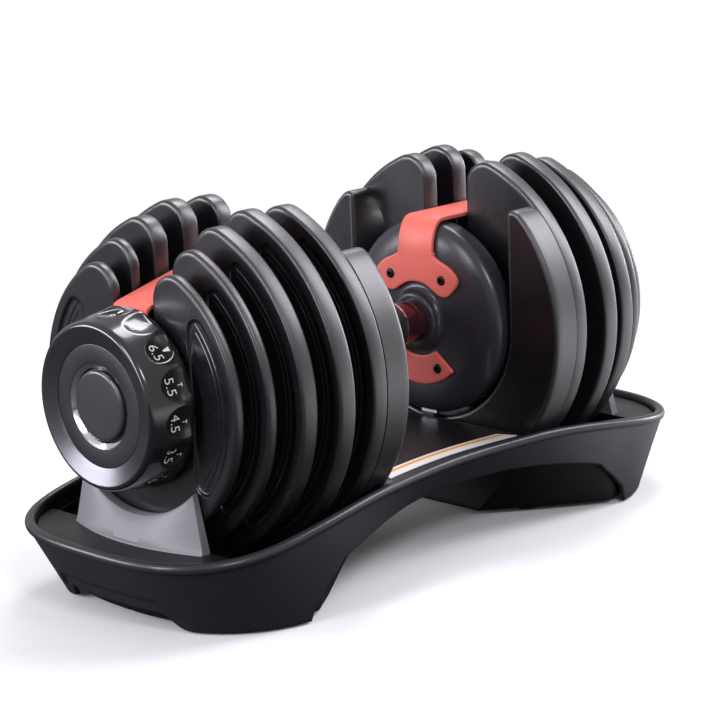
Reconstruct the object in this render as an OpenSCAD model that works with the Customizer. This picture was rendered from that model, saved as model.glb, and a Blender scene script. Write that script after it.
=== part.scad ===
// Adjustable dumbbell standing in its storage tray.
// X runs along the handle, Z is up, the origin is under the centre of the tray.

/* [Handle] */
// Height of the handle axis above the floor
axis_h = 119; // [118.5:0.5:122]
// Radius of the grip at its ends
grip_r = 14; // [13.5:0.5:16]
// How much fatter the grip is in the middle
grip_bulge = 1.6; // [0.5:0.1:3]
// Half the length of the grip sleeve
grip_half = 27; // [20:1:30]
// Width of the bright ring at each end of the grip
grip_ring_w = 1.6; // [1:0.1:3]
// Outer radius of the handle tube
tube_r = 11; // [10.5:0.25:12.5]
// Radius of the bright tube collar beside the grip
collar_r = 12.6; // [12.6:0.1:13.4]
// Radius of each selector shaft
shaft_r = 8; // [7:0.25:8.4]
// Wall of the bush that carries the selector shaft
bush_wall = 1; // [0.8:0.1:1.4]
// Radial running clearance of the selector shaft
run_fit = 0.06; // [0.03:0.01:0.1]

/* [Inner covers] */
// Radius of the round inner cover
cover_r = 59; // [56:0.5:59.5]
// Distance from the centre to the flat face of the cover
cover_face_x = 52.5; // [52:0.5:55]
// Distance from the centre to the back edge of the cover
cover_back_x = 70; // [67:0.5:70.5]
// Wall of the inner cover
cover_wall = 3; // [2:0.25:3.5]
// Radius of the neck around the tube
neck_r = 17; // [16:0.5:19]
// Length of the neck in front of the cover face
neck_len = 6.5; // [4:0.5:8]

/* [Bracket] */
// Width of the strap over the plates
strap_w = 27; // [22:0.5:28]
// Thickness of the strap metal
strap_t = 2.5; // [2:0.1:2.8]
// Distance from the middle at which the strap starts to slope down
strap_bend_x = 122; // [110:1:140]
// Height of the strap top above the axis beside the dial
strap_out_z = 49.5; // [48:0.5:54]
// Distance of the upper screws above the axis
screw_up = 26; // [25:0.5:27]
// Sideways distance of the upper screws
screw_side = 20.5; // [19.5:0.5:22]
// Radius of a screw shank
screw_r = 2; // [1.5:0.1:2.4]
// Radius of a screw head
screw_head_r = 3.4; // [3:0.1:4]

/* [Plates] */
// Distance from the centre to the inner face of the first plate
plate_first_x = 62; // [61.5:0.5:64]
// Thickness of plate 1, the thick one beside the handle
plate_1_t = 28; // [26:0.5:32]
// Thickness of plate 2
plate_2_t = 11.5; // [9:0.5:14]
// Thickness of plate 3
plate_3_t = 11; // [9:0.5:14]
// Thickness of plate 4
plate_4_t = 6.5; // [5:0.5:9]
// Thickness of plate 5, the outermost
plate_5_t = 6.5; // [5:0.5:9]
// Gap between plates 1 and 2
gap_1 = 15; // [9:0.5:16]
// Gap between plates 2 and 3
gap_2 = 11; // [9:0.5:13]
// Gap between plates 3 and 4
gap_3 = 10; // [9:0.5:12]
// Gap between plates 4 and 5
gap_4 = 8; // [8:0.5:10]
// Radius of plate 1
plate_1_r = 99; // [94:0.5:100]
// Radius of plate 2
plate_2_r = 100.5; // [94:0.5:101]
// Radius of plate 3
plate_3_r = 95; // [88:0.5:97]
// Radius of plate 4
plate_4_r = 86.5; // [80:0.5:88]
// Radius of plate 5
plate_5_r = 77; // [72:0.5:80]
// Width of the slot that the handle drops into
slot_w = 32; // [31:0.5:34]
// Radius that rounds each horn beside the slot
horn_fillet = 15; // [10:0.5:17]
// Half width of the wide opening in the thick part of plate 1
lobe_gap = 62; // [62:0.5:64]
// Thickness of the full outline layer of plate 1
horn_layer_t = 11; // [8:0.5:13]
// Height of the shoulders of plate 1 above the axis
shoulder_z = 70; // [66:0.5:75]
// Width of the raised lip round each plate
lip_w = 6; // [4:0.5:10]
// Width of the raised middle of a plate face
face_pad_w = 84; // [70:1:96]
// Depth of the face inside the lip
face_recess = 1.6; // [0.6:0.1:2]

/* [Selector] */
// Outer radius of a selector disc
disc_r = 39; // [38:0.5:42]
// Thickness of the flange round a selector disc
flange_t = 5; // [4:0.25:6]
// Length of the flange along the axis
flange_len = 4.5; // [3.5:0.25:4.6]
// Thickness of the web of a selector disc
web_t = 2; // [1.5:0.1:2.2]
// Clearance between a disc and the plate beside it
side_run = 0.6; // [0.4:0.1:0.7]
// Radius of the hub that lies in the plate slots
hub_r = 12.6; // [11:0.1:12.7]
// Width of the lug on each plate
lug_w = 8; // [6:0.5:9]
// Height of the lug
lug_h = 8; // [6:0.5:9]
// Clearance between a lug and the flange under it
lug_run = 0.8; // [0.6:0.1:1.2]
// Radius of the lock wheel
wheel_r = 26; // [24:0.5:27]
// Depth of the notches in the lock wheel
notch_d = 2.4; // [2.4:0.1:3]

/* [Dial] */
// Radius of the number band at its back edge
band_back_r = 50; // [48:0.5:52]
// Radius of the number band at its front edge
band_front_r = 46; // [45:0.5:48]
// Length of the dial along the axis
dial_len = 26.5; // [24:0.5:28]
// Outer radius of the satin face ring
ring_out_r = 33.5; // [32:0.5:36]
// Inner radius of the satin face ring
ring_in_r = 23; // [22.5:0.5:25]
// Radius of the centre cap
cap_r = 19.2; // [17:0.1:20]
// Depth of each thumb scallop in the band
scallop_d = 1.1; // [0.5:0.1:1.5]

/* [Tray] */
// Half the length of the tray at its rim
rim_half_l = 214; // [210:1:222]
// Gap between plate 1 and the inner edge of the rim beside it
side_gap = 1.9; // [1:0.1:6]
// How much further out the rim is at its corners than at its waist
corner_swell = 12; // [10:0.5:18]
// Height of the rim at the middle
rim_mid_h = 60; // [59.5:0.5:64]
// Height of the rim at the ends
rim_end_h = 45; // [44:0.5:52]
// Half the length of the tray at the floor
base_half_l = 194; // [188:1:198]
// Half the width of the tray at the floor
base_half_w = 91; // [88:0.5:94]
// Width of the rolled lip of the rim
rim_w = 5; // [4:0.25:5.5]
// Wall of the tray
tray_wall = 2.6; // [2:0.1:3]
// Height of the deck under the handle
deck_h = 57.6; // [56:0.2:57.8]
// Height of the skirt's lower edge at the middle of each long side
arch_h = 40; // [30:1:42]
// Height of the arch between the legs at each end
end_arch_h = 11; // [8:1:16]
// Height of the rubber feet
foot_h = 3; // [2:0.5:4]
// Radius of the cradle arc over which the end panels are cut
panel_r = 64; // [58:0.5:66]

/* [Travel] */
// Downward travel of a lock slide when the handle is lifted
lock_travel = 2.5; // [2:0.1:2.5]

/* [Hidden] */
$fn = 96;
SIDES = ["left", "right"];

// Plate stack, from the handle outwards
plate_t = [plate_1_t, plate_2_t, plate_3_t, plate_4_t, plate_5_t];
plate_r = [plate_1_r, plate_2_r, plate_3_r, plate_4_r, plate_5_r];
plate_gap = [gap_1, gap_2, gap_3, gap_4];
function plate_x(i) = i == 0 ? plate_first_x : plate_x(i - 1) + plate_t[i - 1] + plate_gap[i - 1];
horn_layer_x = plate_first_x + plate_1_t - horn_layer_t;
stack_end_x = plate_x(4) + plate_5_t;
leg_x = stack_end_x + 0.8;
leg_out_x = leg_x + strap_t;
dial_back_x = leg_out_x + 0.7;
dial_face_x = dial_back_x + dial_len;
slot_r = slot_w / 2;

// The face that each selector disc works against
function disc_face(i) = i == 0 ? horn_layer_x : plate_x(i);
disc_depth = side_run + flange_len + web_t;
function disc_start(i) = disc_face(i) - disc_depth;
ring_in = disc_r - flange_t;

// Dial positions at which each disc hooks its plate, counted from the lightest setting
POSITIONS = 15;
POS_STEP = 360 / POSITIONS;
REST_POS = 6;
HOOKED = [
    [8, 9, 10, 11, 12, 13, 14],
    [4, 5, 6, 7, 10, 11, 12, 13, 14],
    [12, 13, 14],
    [2, 3, 6, 7, 9, 11, 13, 14],
    [1, 3, 5, 7, 14]
];

// Handle stack
ring_x = grip_half + grip_ring_w;
neck_x = cover_face_x - neck_len;
tube_half = cover_face_x + cover_wall + 0.5;
bush_r = shaft_r + run_fit + bush_wall;
bush_len = 12;
bush_lip = 1.6;
wheel_x = tube_half + bush_lip + 0.3;
wheel_t = 2.6;
shaft_in_x = tube_half - bush_len;
shaft_out_x = dial_face_x - 8;

// Inner cover
cover_edge_x = cover_face_x + 8.5;
cover_flat_r = 40;

// Lock slide
slide_run = 0.4;
slide_x = wheel_x + 0.15;
slide_t = wheel_t - 0.3;
slide_window = wheel_r + notch_d + 1.4;
slide_bar = 5;
tooth_w = 1.2;
NOTCHES = 60;
notch_w = 1.7;
pad_h = 2.6;
pad_gap = 0.3;
foot_out = 0.2;
foot_w = 12;
spring_r = 2;
spring_wire = 0.8;
spring_turns = 6;

// Dial details
dial_wall = 3;
face_drop = 3;
scallop_r = 34;

// Puts a piece made for the right side on either side
module on_side(side) rotate([0, 0, side == "left" ? 180 : 0]) children();

// Turns a solid made along Z so that it lies along the handle axis from x
module on_axis(x) translate([x, 0, axis_h]) rotate([0, 90, 0]) children();

// Extrudes an outline drawn in Y and Z (Z from the axis) along X
module across(x, t) translate([x, 0, axis_h]) rotate([90, 0, 90]) linear_extrude(t) children();

// A closed solid through rings of points; the rings close on themselves or are capped
function ring_faces(n, m, wrap) = [
    for (i = [0 : (wrap ? m - 1 : m - 2)], j = [0 : n - 1])
        let (a = i * n + j, b = i * n + (j + 1) % n,
             c = ((i + 1) % m) * n + (j + 1) % n, d = ((i + 1) % m) * n + j)
        each [[a, c, b], [a, d, c]]
];
function flat(rings) = [for (r = rings, p = r) p];
module loop_loft(rings)
    polyhedron(flat(rings), ring_faces(len(rings[0]), len(rings), true), convexity = 6);
module capped_loft(rings) {
    n = len(rings[0]);
    m = len(rings);
    first = [for (j = [1 : n - 2]) [0, j, j + 1]];
    last = [for (j = [1 : n - 2]) [(m - 1) * n, (m - 1) * n + j + 1, (m - 1) * n + j]];
    polyhedron(flat(rings), concat(ring_faces(n, m, false), first, last), convexity = 6);
}

// ---- Tray outline ----
RIM_N = 176;
function mix(a, b, t) = a + (b - a) * t;
function ease(t) = pow(sin(90 * min(max(t, 0), 1)), 2);
// Half width at x of an outline with a waist, straight shoulders and a rounded end
function half_width(x, waist, wide, shoulder_x, end_x, power) =
    abs(x) < shoulder_x
        ? mix(waist, wide, ease(abs(x) / shoulder_x))
        : wide * pow(max(0, 1 - pow((abs(x) - shoulder_x) / (end_x - shoulder_x), power)), 1 / power);
// Points of an outline, spaced so that the rounded ends stay smooth
function outline(waist, wide, shoulder_x, end_x, power) = [
    for (k = [0 : RIM_N - 1])
        let (a = 360 * k / RIM_N,
             c = cos(a), s = sin(a),
             x = abs(c) > 0.72
                 ? sign(c) * mix(shoulder_x, end_x, sqrt(1 - pow(min(1, abs(s) / 0.694), 2)))
                 : shoulder_x * c / 0.72,
             w = half_width(x, waist, wide, shoulder_x, end_x, power))
        [x, s < 0 ? -w : w]
];
rim_shoulder_x = 125;
rim_power = 2.9;
rim_level_x = 60;
base_shoulder_x = 112;
base_waist = 46;
base_power = 2.4;
plate_side = sqrt(pow(plate_1_r, 2) - pow(axis_h - rim_mid_h, 2));
rim_waist = plate_side + side_gap + rim_w - corner_swell * ease(plate_first_x / rim_shoulder_x);
rim_half_w = rim_waist + corner_swell;
function rim_line(inset) = outline(rim_waist - inset, rim_half_w - inset, rim_shoulder_x, rim_half_l - inset, rim_power);
function base_line(inset) = outline(base_waist - inset, base_half_w - inset, base_shoulder_x, base_half_l - inset, base_power);
function rim_z(x) = mix(rim_mid_h, rim_end_h, ease((abs(x) - rim_level_x) / (rim_half_l - rim_level_x)));

// Lower edge of the skirt: arches along the sides, a low arch at each end, legs at the corners
leg_end_x = 134;
LEG_EDGE = [[0, 1], [40, 1], [60, 0.96], [78, 0.89], [93, 0.81], [103, 0.73], [110, 0.58], [118, 0.49], [124, 0.39], [128, 0.24], [131, 0.1], [134, 0]];
end_arch_y = 46;
end_arch_slope = 13;
floor_gap = 1;
function side_arch(x) = floor_gap + (arch_h - floor_gap) * lookup(abs(x), LEG_EDGE);
function end_arch(y) = floor_gap + (end_arch_h - floor_gap) * ease((end_arch_y - abs(y)) / end_arch_slope);
function skirt_low(p) = abs(p[0]) < leg_end_x ? side_arch(p[0]) : abs(p[0]) > base_shoulder_x + 30 ? end_arch(p[1]) : floor_gap;

// The rolled bead of the rim stands out over the wall
bead_h = 5.2;
bead_step = 1;
// A ring of the tray wall, a share up from its lower edge, inset from the outside
function wall_ring(share, inset) = [
    for (k = [0 : RIM_N - 1])
        let (b = base_line(inset)[k], r = rim_line(inset + bead_step)[k],
             low = skirt_low(base_line(0)[k]),
             top = rim_z(r[0]) - bead_h,
             z = mix(low, top, share),
             t = z / top)
        [mix(b[0], r[0], t), mix(b[1], r[1], t), z]
];
function rim_ring(inset, drop) = [for (p = rim_line(inset)) [p[0], p[1], rim_z(p[0]) - drop]];

module tray_shell() {
    color("#26262a")
        loop_loft([
            wall_ring(0, 0), wall_ring(0.5, 0), wall_ring(1, 0),
            rim_ring(0.1, bead_h), rim_ring(-0.6, bead_h - 1.4), rim_ring(-0.5, 1.8), rim_ring(0.6, 0.5),
            rim_ring(2, 0), rim_ring(rim_w - 1.6, 0.4), rim_ring(rim_w - 0.4, 1.4), rim_ring(rim_w, 2.8),
            rim_ring(rim_w, bead_h), wall_ring(1, tray_wall), wall_ring(0.5, tray_wall), wall_ring(0, tray_wall)
        ]);
}

// ---- Wells that the plates stand in ----
well_x = plate_first_x - 3.8;
well_floor = foot_h;
lip_gap = 0.8;
WELL_N = 60;
low_x = well_x + 0.6;
low_y = 36;
// Half an outline, from one corner beside the deck round the end to the other corner
function end_line(inner_x, inner_w, wide, shoulder_x, end_x, power, waisted) = [
    for (k = [0 : WELL_N])
        let (u = 2 * k / WELL_N - 1, v = abs(u),
             x = v < 0.6 ? mix(shoulder_x, end_x, sqrt(1 - pow(v / 0.6, 2))) : mix(shoulder_x, inner_x, (v - 0.6) / 0.4),
             w = v < 0.6 ? wide * pow(max(0, 1 - pow((x - shoulder_x) / (end_x - shoulder_x), power)), 1 / power)
                 : waisted ? mix(wide, inner_w, (v - 0.6) / 0.4) + 2 * sin(450 * (v - 0.6))
                 : half_width(x, inner_w, wide, shoulder_x, end_x, power))
        [x, u < 0 ? -w : w]
];
well_drop = 10;
shoulder_ratio = base_shoulder_x / rim_shoulder_x;
function wall_share(x) = (rim_z(x) - well_drop) / (rim_z(x) - bead_h);
// The top of a well follows the inside of the shell, a gap away from it
function well_top(grow) =
    let (inset = tray_wall + lip_gap + grow,
         inner_x = (well_x + grow) / mix(shoulder_ratio, 1, wall_share(well_x)),
         r = end_line(inner_x, rim_waist - inset - bead_step, rim_half_w - inset - bead_step,
                      rim_shoulder_x, rim_half_l - inset - bead_step, rim_power, false),
         b = end_line(inner_x * shoulder_ratio, base_waist - inset, base_half_w - inset,
                      base_shoulder_x, base_half_l - inset, base_power, false))
    [for (k = [0 : WELL_N])
        let (t = wall_share(r[k][0]))
        [mix(b[k][0], r[k][0], t), mix(b[k][1], r[k][1], t), rim_z(r[k][0]) - well_drop]];
function well_low(grow, z) = [
    for (p = end_line(low_x + grow, low_y - grow, base_half_w - 6 - grow, base_shoulder_x + 12, base_half_l - 7 - grow, base_power, true))
        [p[0], p[1], z]
];
module well() {
    color("#1f1f23")
        capped_loft([
            well_low(0, well_floor), well_top(0), well_top(tray_wall), well_low(tray_wall, well_floor + tray_wall)
        ]);
}

// Deck between the wells, with the walls that close each well towards the handle
well_rim_z = rim_z(well_x) - well_drop;
deck_end_y = rim_waist - 6;
module tray_deck() {
    half = well_x + tray_wall;
    side = [for (x = [-half : half / 8 : half + 0.01]) [x, half_width(x, rim_waist, rim_half_w, rim_shoulder_x, rim_half_l, rim_power) - rim_w - 0.4]];
    color("#202024") {
        translate([0, 0, deck_h - tray_wall])
            linear_extrude(tray_wall)
                polygon(concat(side, [for (i = [len(side) - 1 : -1 : 0]) [side[i][0], -side[i][1]]]));
        for (s = [-1, 1])
            translate([s > 0 ? well_x : -half, -deck_end_y, well_rim_z])
                cube([tray_wall, 2 * deck_end_y, deck_h - tray_wall / 2 - well_rim_z]);
    }
}

// Two comb rails on each well floor: a cradle under each plate and a divider between plates
rail_y = 14;
rail_w = 14;
rail_top = 44;
rail_low = well_floor + tray_wall;
rail_toe = 6;
seat_gap = 0.3;
panel_x = stack_end_x + 1;
module rack() {
    color("#1b1b1e")
        difference() {
            for (s = [-1, 1])
                translate([0, s > 0 ? rail_y + rail_w : -rail_y, 0])
                    rotate([90, 0, 0])
                        linear_extrude(rail_w)
                            polygon([
                                [well_x + 9, rail_low], [panel_x - rail_toe, rail_low], [panel_x, rail_low + rail_toe],
                                [panel_x, rail_top], [well_x + 9, rail_top]
                            ]);
            for (i = [0 : 4])
                on_axis(plate_x(i) - 0.8) cylinder(r = plate_r[i] + seat_gap, h = plate_t[i] + 1.6);
        }
}

// Fan-shaped panel under each dial, cut to an arc about the axis
PANEL_N = 24;
panel_top_x = panel_x + 3.5;
panel_base_z = rim_end_h - 4;
panel_base_y = 52;
panel_swing = 44;
panel_bulge = 10;
panel_base_x = panel_x + 5.5;
module end_panel() {
    sections = [
        for (i = [0 : PANEL_N])
            let (u = 2 * i / PANEL_N - 1,
                 a = panel_swing * u,
                 ty = panel_r * sin(a), tz = axis_h - panel_r * cos(a),
                 by = panel_base_y * u, bx = panel_base_x + panel_bulge * (1 - u * u))
            [[panel_x, ty, tz], [panel_top_x + 4 * (1 - u * u), ty, tz], [bx, by, panel_base_z], [panel_x, by, panel_base_z]]
    ];
    shelf = rim_line(rim_w + lip_gap);
    color("#4a4a50") capped_loft(sections);
    color("#242428")
        intersection() {
            translate([0, 0, panel_base_z - tray_wall]) linear_extrude(tray_wall) polygon(shelf);
            translate([panel_x, -100, 0]) cube([100, 200, 100]);
        }
}

foot_spots = [[92, 46], [150, 52]];
foot_r = 8;
module tray_feet() {
    color("#101012")
        for (s = [-1, 1], t = [-1, 1], p = foot_spots)
            translate([s * p[0], t * p[1], 0]) cylinder(r = foot_r, h = foot_h);
}

push_x = slide_x + slide_t / 2;
push_t = 2 * (plate_first_x - 0.5 - push_x);
push_w = 9;
module unlock_pads() {
    color("#2c2c30")
        for (s = [-1, 1])
            translate([s * push_x - push_t / 2, -push_w / 2, deck_h])
                cube([push_t, push_w, axis_h - cover_r - foot_out - pad_gap - deck_h]);
}

strip_l = 108;
strip_w = 18;
strip_t = 0.5;
module deck_strip() {
    color("#f4f2ec")
        translate([-strip_l / 2, -(rim_waist - rim_w - 1.5), deck_h]) cube([strip_l, strip_w, strip_t]);
}

// ---- Handle ----
module handle_tube() {
    color("#8a8d92")
        on_axis(-tube_half)
            difference() {
                cylinder(r = tube_r, h = 2 * tube_half);
                translate([0, 0, -1]) cylinder(r = bush_r, h = bush_len + 1);
                translate([0, 0, 2 * tube_half - bush_len]) cylinder(r = bush_r, h = bush_len + 1);
            }
}

module grip_sleeve() {
    barrel = [for (i = [0 : 16]) let (u = i / 8 - 1) [grip_r + grip_bulge * (1 - u * u), grip_half * u]];
    color("#17171a")
        on_axis(0)
            rotate_extrude()
                polygon(concat([[tube_r, -grip_half]], barrel, [[tube_r, grip_half]]));
}

module grip_rings() {
    color("#e6e6ea")
        for (s = [-1, 1])
            on_axis(s > 0 ? grip_half : -ring_x)
                difference() {
                    cylinder(r = grip_r + 0.5, h = grip_ring_w);
                    translate([0, 0, -1]) cylinder(r = tube_r, h = grip_ring_w + 2);
                }
}

module tube_collars() {
    color("#8c2f3c")
        for (s = [-1, 1])
            on_axis(s > 0 ? ring_x : -neck_x)
                difference() {
                    cylinder(r = collar_r, h = neck_x - ring_x);
                    translate([0, 0, -1]) cylinder(r = tube_r, h = neck_x - ring_x + 2);
                }
}

module shaft_bushes() {
    color("#c8a45a")
        for (side = SIDES)
            on_side(side)
                on_axis(tube_half - bush_len)
                    difference() {
                        union() {
                            cylinder(r = bush_r, h = bush_len);
                            translate([0, 0, bush_len]) cylinder(r = tube_r, h = bush_lip);
                        }
                        translate([0, 0, -1]) cylinder(r = shaft_r + run_fit, h = bush_len + bush_lip + 2);
                    }
}

// Round cover between the grip and the plates: outside and inside profiles, radius against X
function cover_curve(r, x0, flat_r, depth) = [
    for (i = [0 : 12])
        let (a = 90 * i / 12) [flat_r + (r - flat_r) * sin(a), x0 + depth * (1 - cos(a))]
];
module cover() {
    outside = concat(
        [[tube_r, neck_x], [neck_r - 1, neck_x], [neck_r, neck_x + 1]],
        [for (i = [0 : 6]) let (a = 15 * i) [neck_r + 4 * (1 - cos(a)), cover_face_x - 4 + 4 * sin(a)]],
        cover_curve(cover_r, cover_face_x, cover_flat_r, cover_edge_x - cover_face_x),
        [[cover_r, cover_back_x], [cover_r - cover_wall, cover_back_x]]
    );
    inside_curve = cover_curve(cover_r - cover_wall, cover_face_x + cover_wall, cover_flat_r - 3, cover_edge_x - cover_face_x);
    inside = [for (i = [12 : -1 : 0]) inside_curve[i]];
    color("#34353a")
        on_side("right")
            difference() {
                on_axis(0) rotate_extrude() polygon(concat(outside, inside, [[tube_r, cover_face_x + cover_wall]]));
                for (p = screw_spots())
                    translate([0, p[0], axis_h + p[1]]) rotate([0, 90, 0]) cylinder(r = screw_r, h = 100, $fn = 32);
                translate([slide_x - slide_run, -foot_w / 2 - slide_run, axis_h - cover_r - 5])
                    cube([slide_t + 2 * slide_run, foot_w + 2 * slide_run, 15]);
            }
}

// ---- Brackets ----
lower_screw_y = 15.3;
lower_screw_z = -28.3;
flange_in_r = neck_r + 4.4;
function screw_spots() = [
    [screw_side, screw_up], [-screw_side, screw_up],
    [lower_screw_y, lower_screw_z], [-lower_screw_y, lower_screw_z]
];
bend_z = cover_flat_r;
strap_gap = 0.3;
strap_in_z = cover_r + strap_gap + strap_t;
// Points that follow the cover's edge, a distance outside it
function over_edge(out) = [
    for (a = [15 : 15 : 90])
        let (dx = (cover_edge_x - cover_face_x) * sin(a), dr = (cover_r - cover_flat_r) * cos(a), d = norm([dx, dr]))
        [cover_face_x + (cover_edge_x - cover_face_x) * (1 - cos(a)) - out * dr / d,
         cover_flat_r + (cover_r - cover_flat_r) * sin(a) + out * dx / d]
];
module bracket() {
    face = cover_face_x;
    inner = over_edge(strap_gap);
    profile = concat(
        [[face - strap_t, screw_up], [face - strap_t, bend_z]], over_edge(strap_gap + strap_t),
        [[strap_bend_x, strap_in_z], [leg_out_x - 1.2, strap_out_z], [leg_out_x, strap_out_z - 1.2],
         [leg_out_x, -strap_w / 2], [leg_x, -strap_w / 2], [leg_x, strap_out_z - strap_t],
         [strap_bend_x - 0.5, strap_in_z - strap_t]],
        [for (i = [5 : -1 : 0]) inner[i]],
        [[face, bend_z], [face, screw_up]]
    );
    color("#e8564c")
        difference() {
            union() {
                translate([0, strap_w / 2, axis_h]) rotate([90, 0, 0]) linear_extrude(strap_w) polygon(profile);
                across(face - strap_t, strap_t)
                    difference() {
                        union() {
                            for (s = [-1, 1]) translate([s * screw_side, screw_up - 0.5]) circle(r = 8.5);
                            polygon([
                                [-strap_w / 2, bend_z], [strap_w / 2, bend_z], [strap_w / 2, screw_up + 11],
                                [screw_side + 3.5, screw_up + 7.4], [flange_in_r * 0.8, screw_up - 8.6],
                                [-flange_in_r * 0.8, screw_up - 8.6], [-screw_side - 3.5, screw_up + 7.4],
                                [-strap_w / 2, screw_up + 11]
                            ]);
                        }
                        circle(r = flange_in_r);
                    }
            }
            for (s = [-1, 1])
                translate([0, s * screw_side, axis_h + screw_up])
                    rotate([0, 90, 0]) cylinder(r = screw_r, h = 100, $fn = 32);
            on_axis(leg_x - 1) cylinder(r = shaft_r + run_fit, h = strap_t + 2);
        }
}

module lower_flange() {
    color("#e8564c")
        difference() {
            across(cover_face_x - strap_t, strap_t)
                difference() {
                    intersection() {
                        circle(r = 40);
                        polygon([[0, 0], [-38, -29], [-24, -48], [24, -48], [38, -29]]);
                    }
                    circle(r = flange_in_r);
                }
            for (s = [-1, 1])
                translate([0, s * lower_screw_y, axis_h + lower_screw_z])
                    rotate([0, 90, 0]) cylinder(r = screw_r, h = 100, $fn = 32);
        }
}

screw_head_h = 1.7;
socket_r = 1.6;
module flange_screws() {
    color("#1a1a1c")
        for (side = SIDES, p = screw_spots())
            on_side(side)
                translate([cover_face_x - strap_t, p[0], axis_h + p[1]])
                    rotate([0, 90, 0])
                        difference() {
                            union() {
                                translate([0, 0, -screw_head_h]) cylinder(r = screw_head_r, h = screw_head_h, $fn = 32);
                                cylinder(r = screw_r, h = strap_t + cover_wall, $fn = 32);
                            }
                            translate([0, 0, -screw_head_h - 1]) cylinder(r = socket_r, h = 2, $fn = 6);
                        }
}

// ---- Selectors ----
module shaft() {
    color("#9fa2a6")
        on_axis(shaft_in_x)
            difference() {
                cylinder(r = shaft_r, h = shaft_out_x - shaft_in_x);
                translate([0, 0, shaft_out_x - shaft_in_x - 14]) cylinder(r = 2.5, h = 15, $fn = 32);
            }
}

// Fine notches every 6 degrees, so that the slide finds one at each of the 15 settings
module lock_wheel() {
    half = notch_w / 2 / wheel_r * 57.3;
    rim = [
        for (i = [0 : NOTCHES - 1], e = [[-1, 0], [-1, 1], [1, 1], [1, 0]])
            let (a = 90 + 360 * i / NOTCHES + e[0] * half, r = wheel_r - e[1] * notch_d)
            [r * cos(a), r * sin(a)]
    ];
    color("#b8bbc0")
        difference() {
            union() {
                across(wheel_x, wheel_t) polygon(rim);
                on_axis(wheel_x) cylinder(r = hub_r, h = disc_start(0) - wheel_x);
            }
            on_axis(wheel_x - 1) cylinder(r = shaft_r, h = 40);
        }
}

// Angle in Y and Z of the flange sector that works at a dial position
function sector_angle(k) = -90 - (REST_POS - k) * POS_STEP;
module wedge(angle, half, r) {
    rotate(angle) polygon([[0, 0], [r, -r * tan(half)], [r, r * tan(half)]]);
}

module disc(i) {
    start = disc_start(i);
    next = i < 4 ? disc_start(i + 1) : leg_x - 0.3;
    free = [for (k = [0 : POSITIONS - 1]) if (len(search(k, HOOKED[i])) == 0) k];
    color("#5b5d62")
        difference() {
            union() {
                on_axis(start) cylinder(r = disc_r, h = web_t);
                on_axis(start) cylinder(r = hub_r, h = next - start);
                across(start + web_t, flange_len)
                    difference() {
                        circle(r = disc_r);
                        circle(r = ring_in);
                        for (k = free) wedge(sector_angle(k), POS_STEP / 2 + 0.05, 2 * disc_r);
                    }
            }
            on_axis(start - 1) cylinder(r = shaft_r, h = next - start + 2);
        }
}

// ---- Dials ----
module dial() {
    face = dial_len;
    outside = [
        [shaft_r, 0.4], [hub_r, 0.4], [hub_r, face - 11], [band_front_r - dial_wall, face - 11],
        [band_front_r - dial_wall, 0], [band_back_r, 0], [band_front_r, face - 3.2],
        [band_front_r - 0.5, face - 1.3], [band_front_r - 1.4, face - 0.3], [band_front_r - 2.2, face],
        [band_front_r - 3.2, face - 0.3], [ring_out_r + 0.25, face - face_drop], [ring_out_r + 0.25, face - face_drop - 2],
        [ring_in_r, face - face_drop - 2],
        [ring_in_r, face - 6.5], [shaft_r, face - 6.5]
    ];
    color("#141416")
        on_axis(dial_back_x)
            difference() {
                rotate_extrude() polygon(outside);
                for (k = [0 : POSITIONS - 1])
                    rotate(k * POS_STEP)
                        translate([(band_back_r + band_front_r) / 2 + scallop_r - scallop_d, 0, face / 2 - 2])
                            sphere(r = scallop_r);
            }
}

module dial_ring() {
    base = dial_len - face_drop - 2;
    color("#3c3d41")
        on_axis(dial_back_x)
            rotate_extrude()
                polygon([[ring_in_r, base], [ring_out_r, base], [ring_out_r, base + 2], [ring_in_r + 1, base + 2], [ring_in_r, base + 1]]);
}

cap_seat = 6.5;
module dial_cap() {
    dome = [for (i = [0 : 8]) let (u = i / 8) [cap_r * u, dial_len - face_drop + 0.4 - 1.2 * u * u]];
    low = dial_len - cap_seat;
    color("#1c1c1f")
        on_axis(dial_back_x)
            rotate_extrude()
                polygon(concat(
                    dome,
                    [[cap_r, low], [cap_r - 2, low], [cap_r - 2, low + 1.9], [0, low + 1.9]]
                ));
}

module dial_screw() {
    head_x = shaft_out_x;
    color("#8d9095")
        on_axis(head_x - 12)
            union() {
                cylinder(r = 2.5, h = 12, $fn = 32);
                translate([0, 0, 12]) cylinder(r = shaft_r - 2.4, h = 2.6, $fn = 32);
            }
}

// ---- Lock slides ----
module lock_slide() {
    foot_low = -(cover_r + foot_out);
    frame_r = slide_window + slide_bar;
    color("#d0d2d6")
        across(slide_x, slide_t)
            union() {
                difference() {
                    circle(r = frame_r);
                    circle(r = slide_window);
                }
                translate([-foot_w / 2, foot_low]) square([foot_w, -foot_low - frame_r + 1]);
                translate([-tooth_w / 2, wheel_r + 0.4]) square([tooth_w, frame_r - wheel_r - 1]);
            }
}

function coil_ring(a, z, n) = [
    for (j = [0 : n - 1])
        let (b = -360 * j / n, r = spring_r + spring_wire / 2 * cos(b))
        [r * cos(a), r * sin(a), z + spring_wire / 2 * sin(b)]
];
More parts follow.
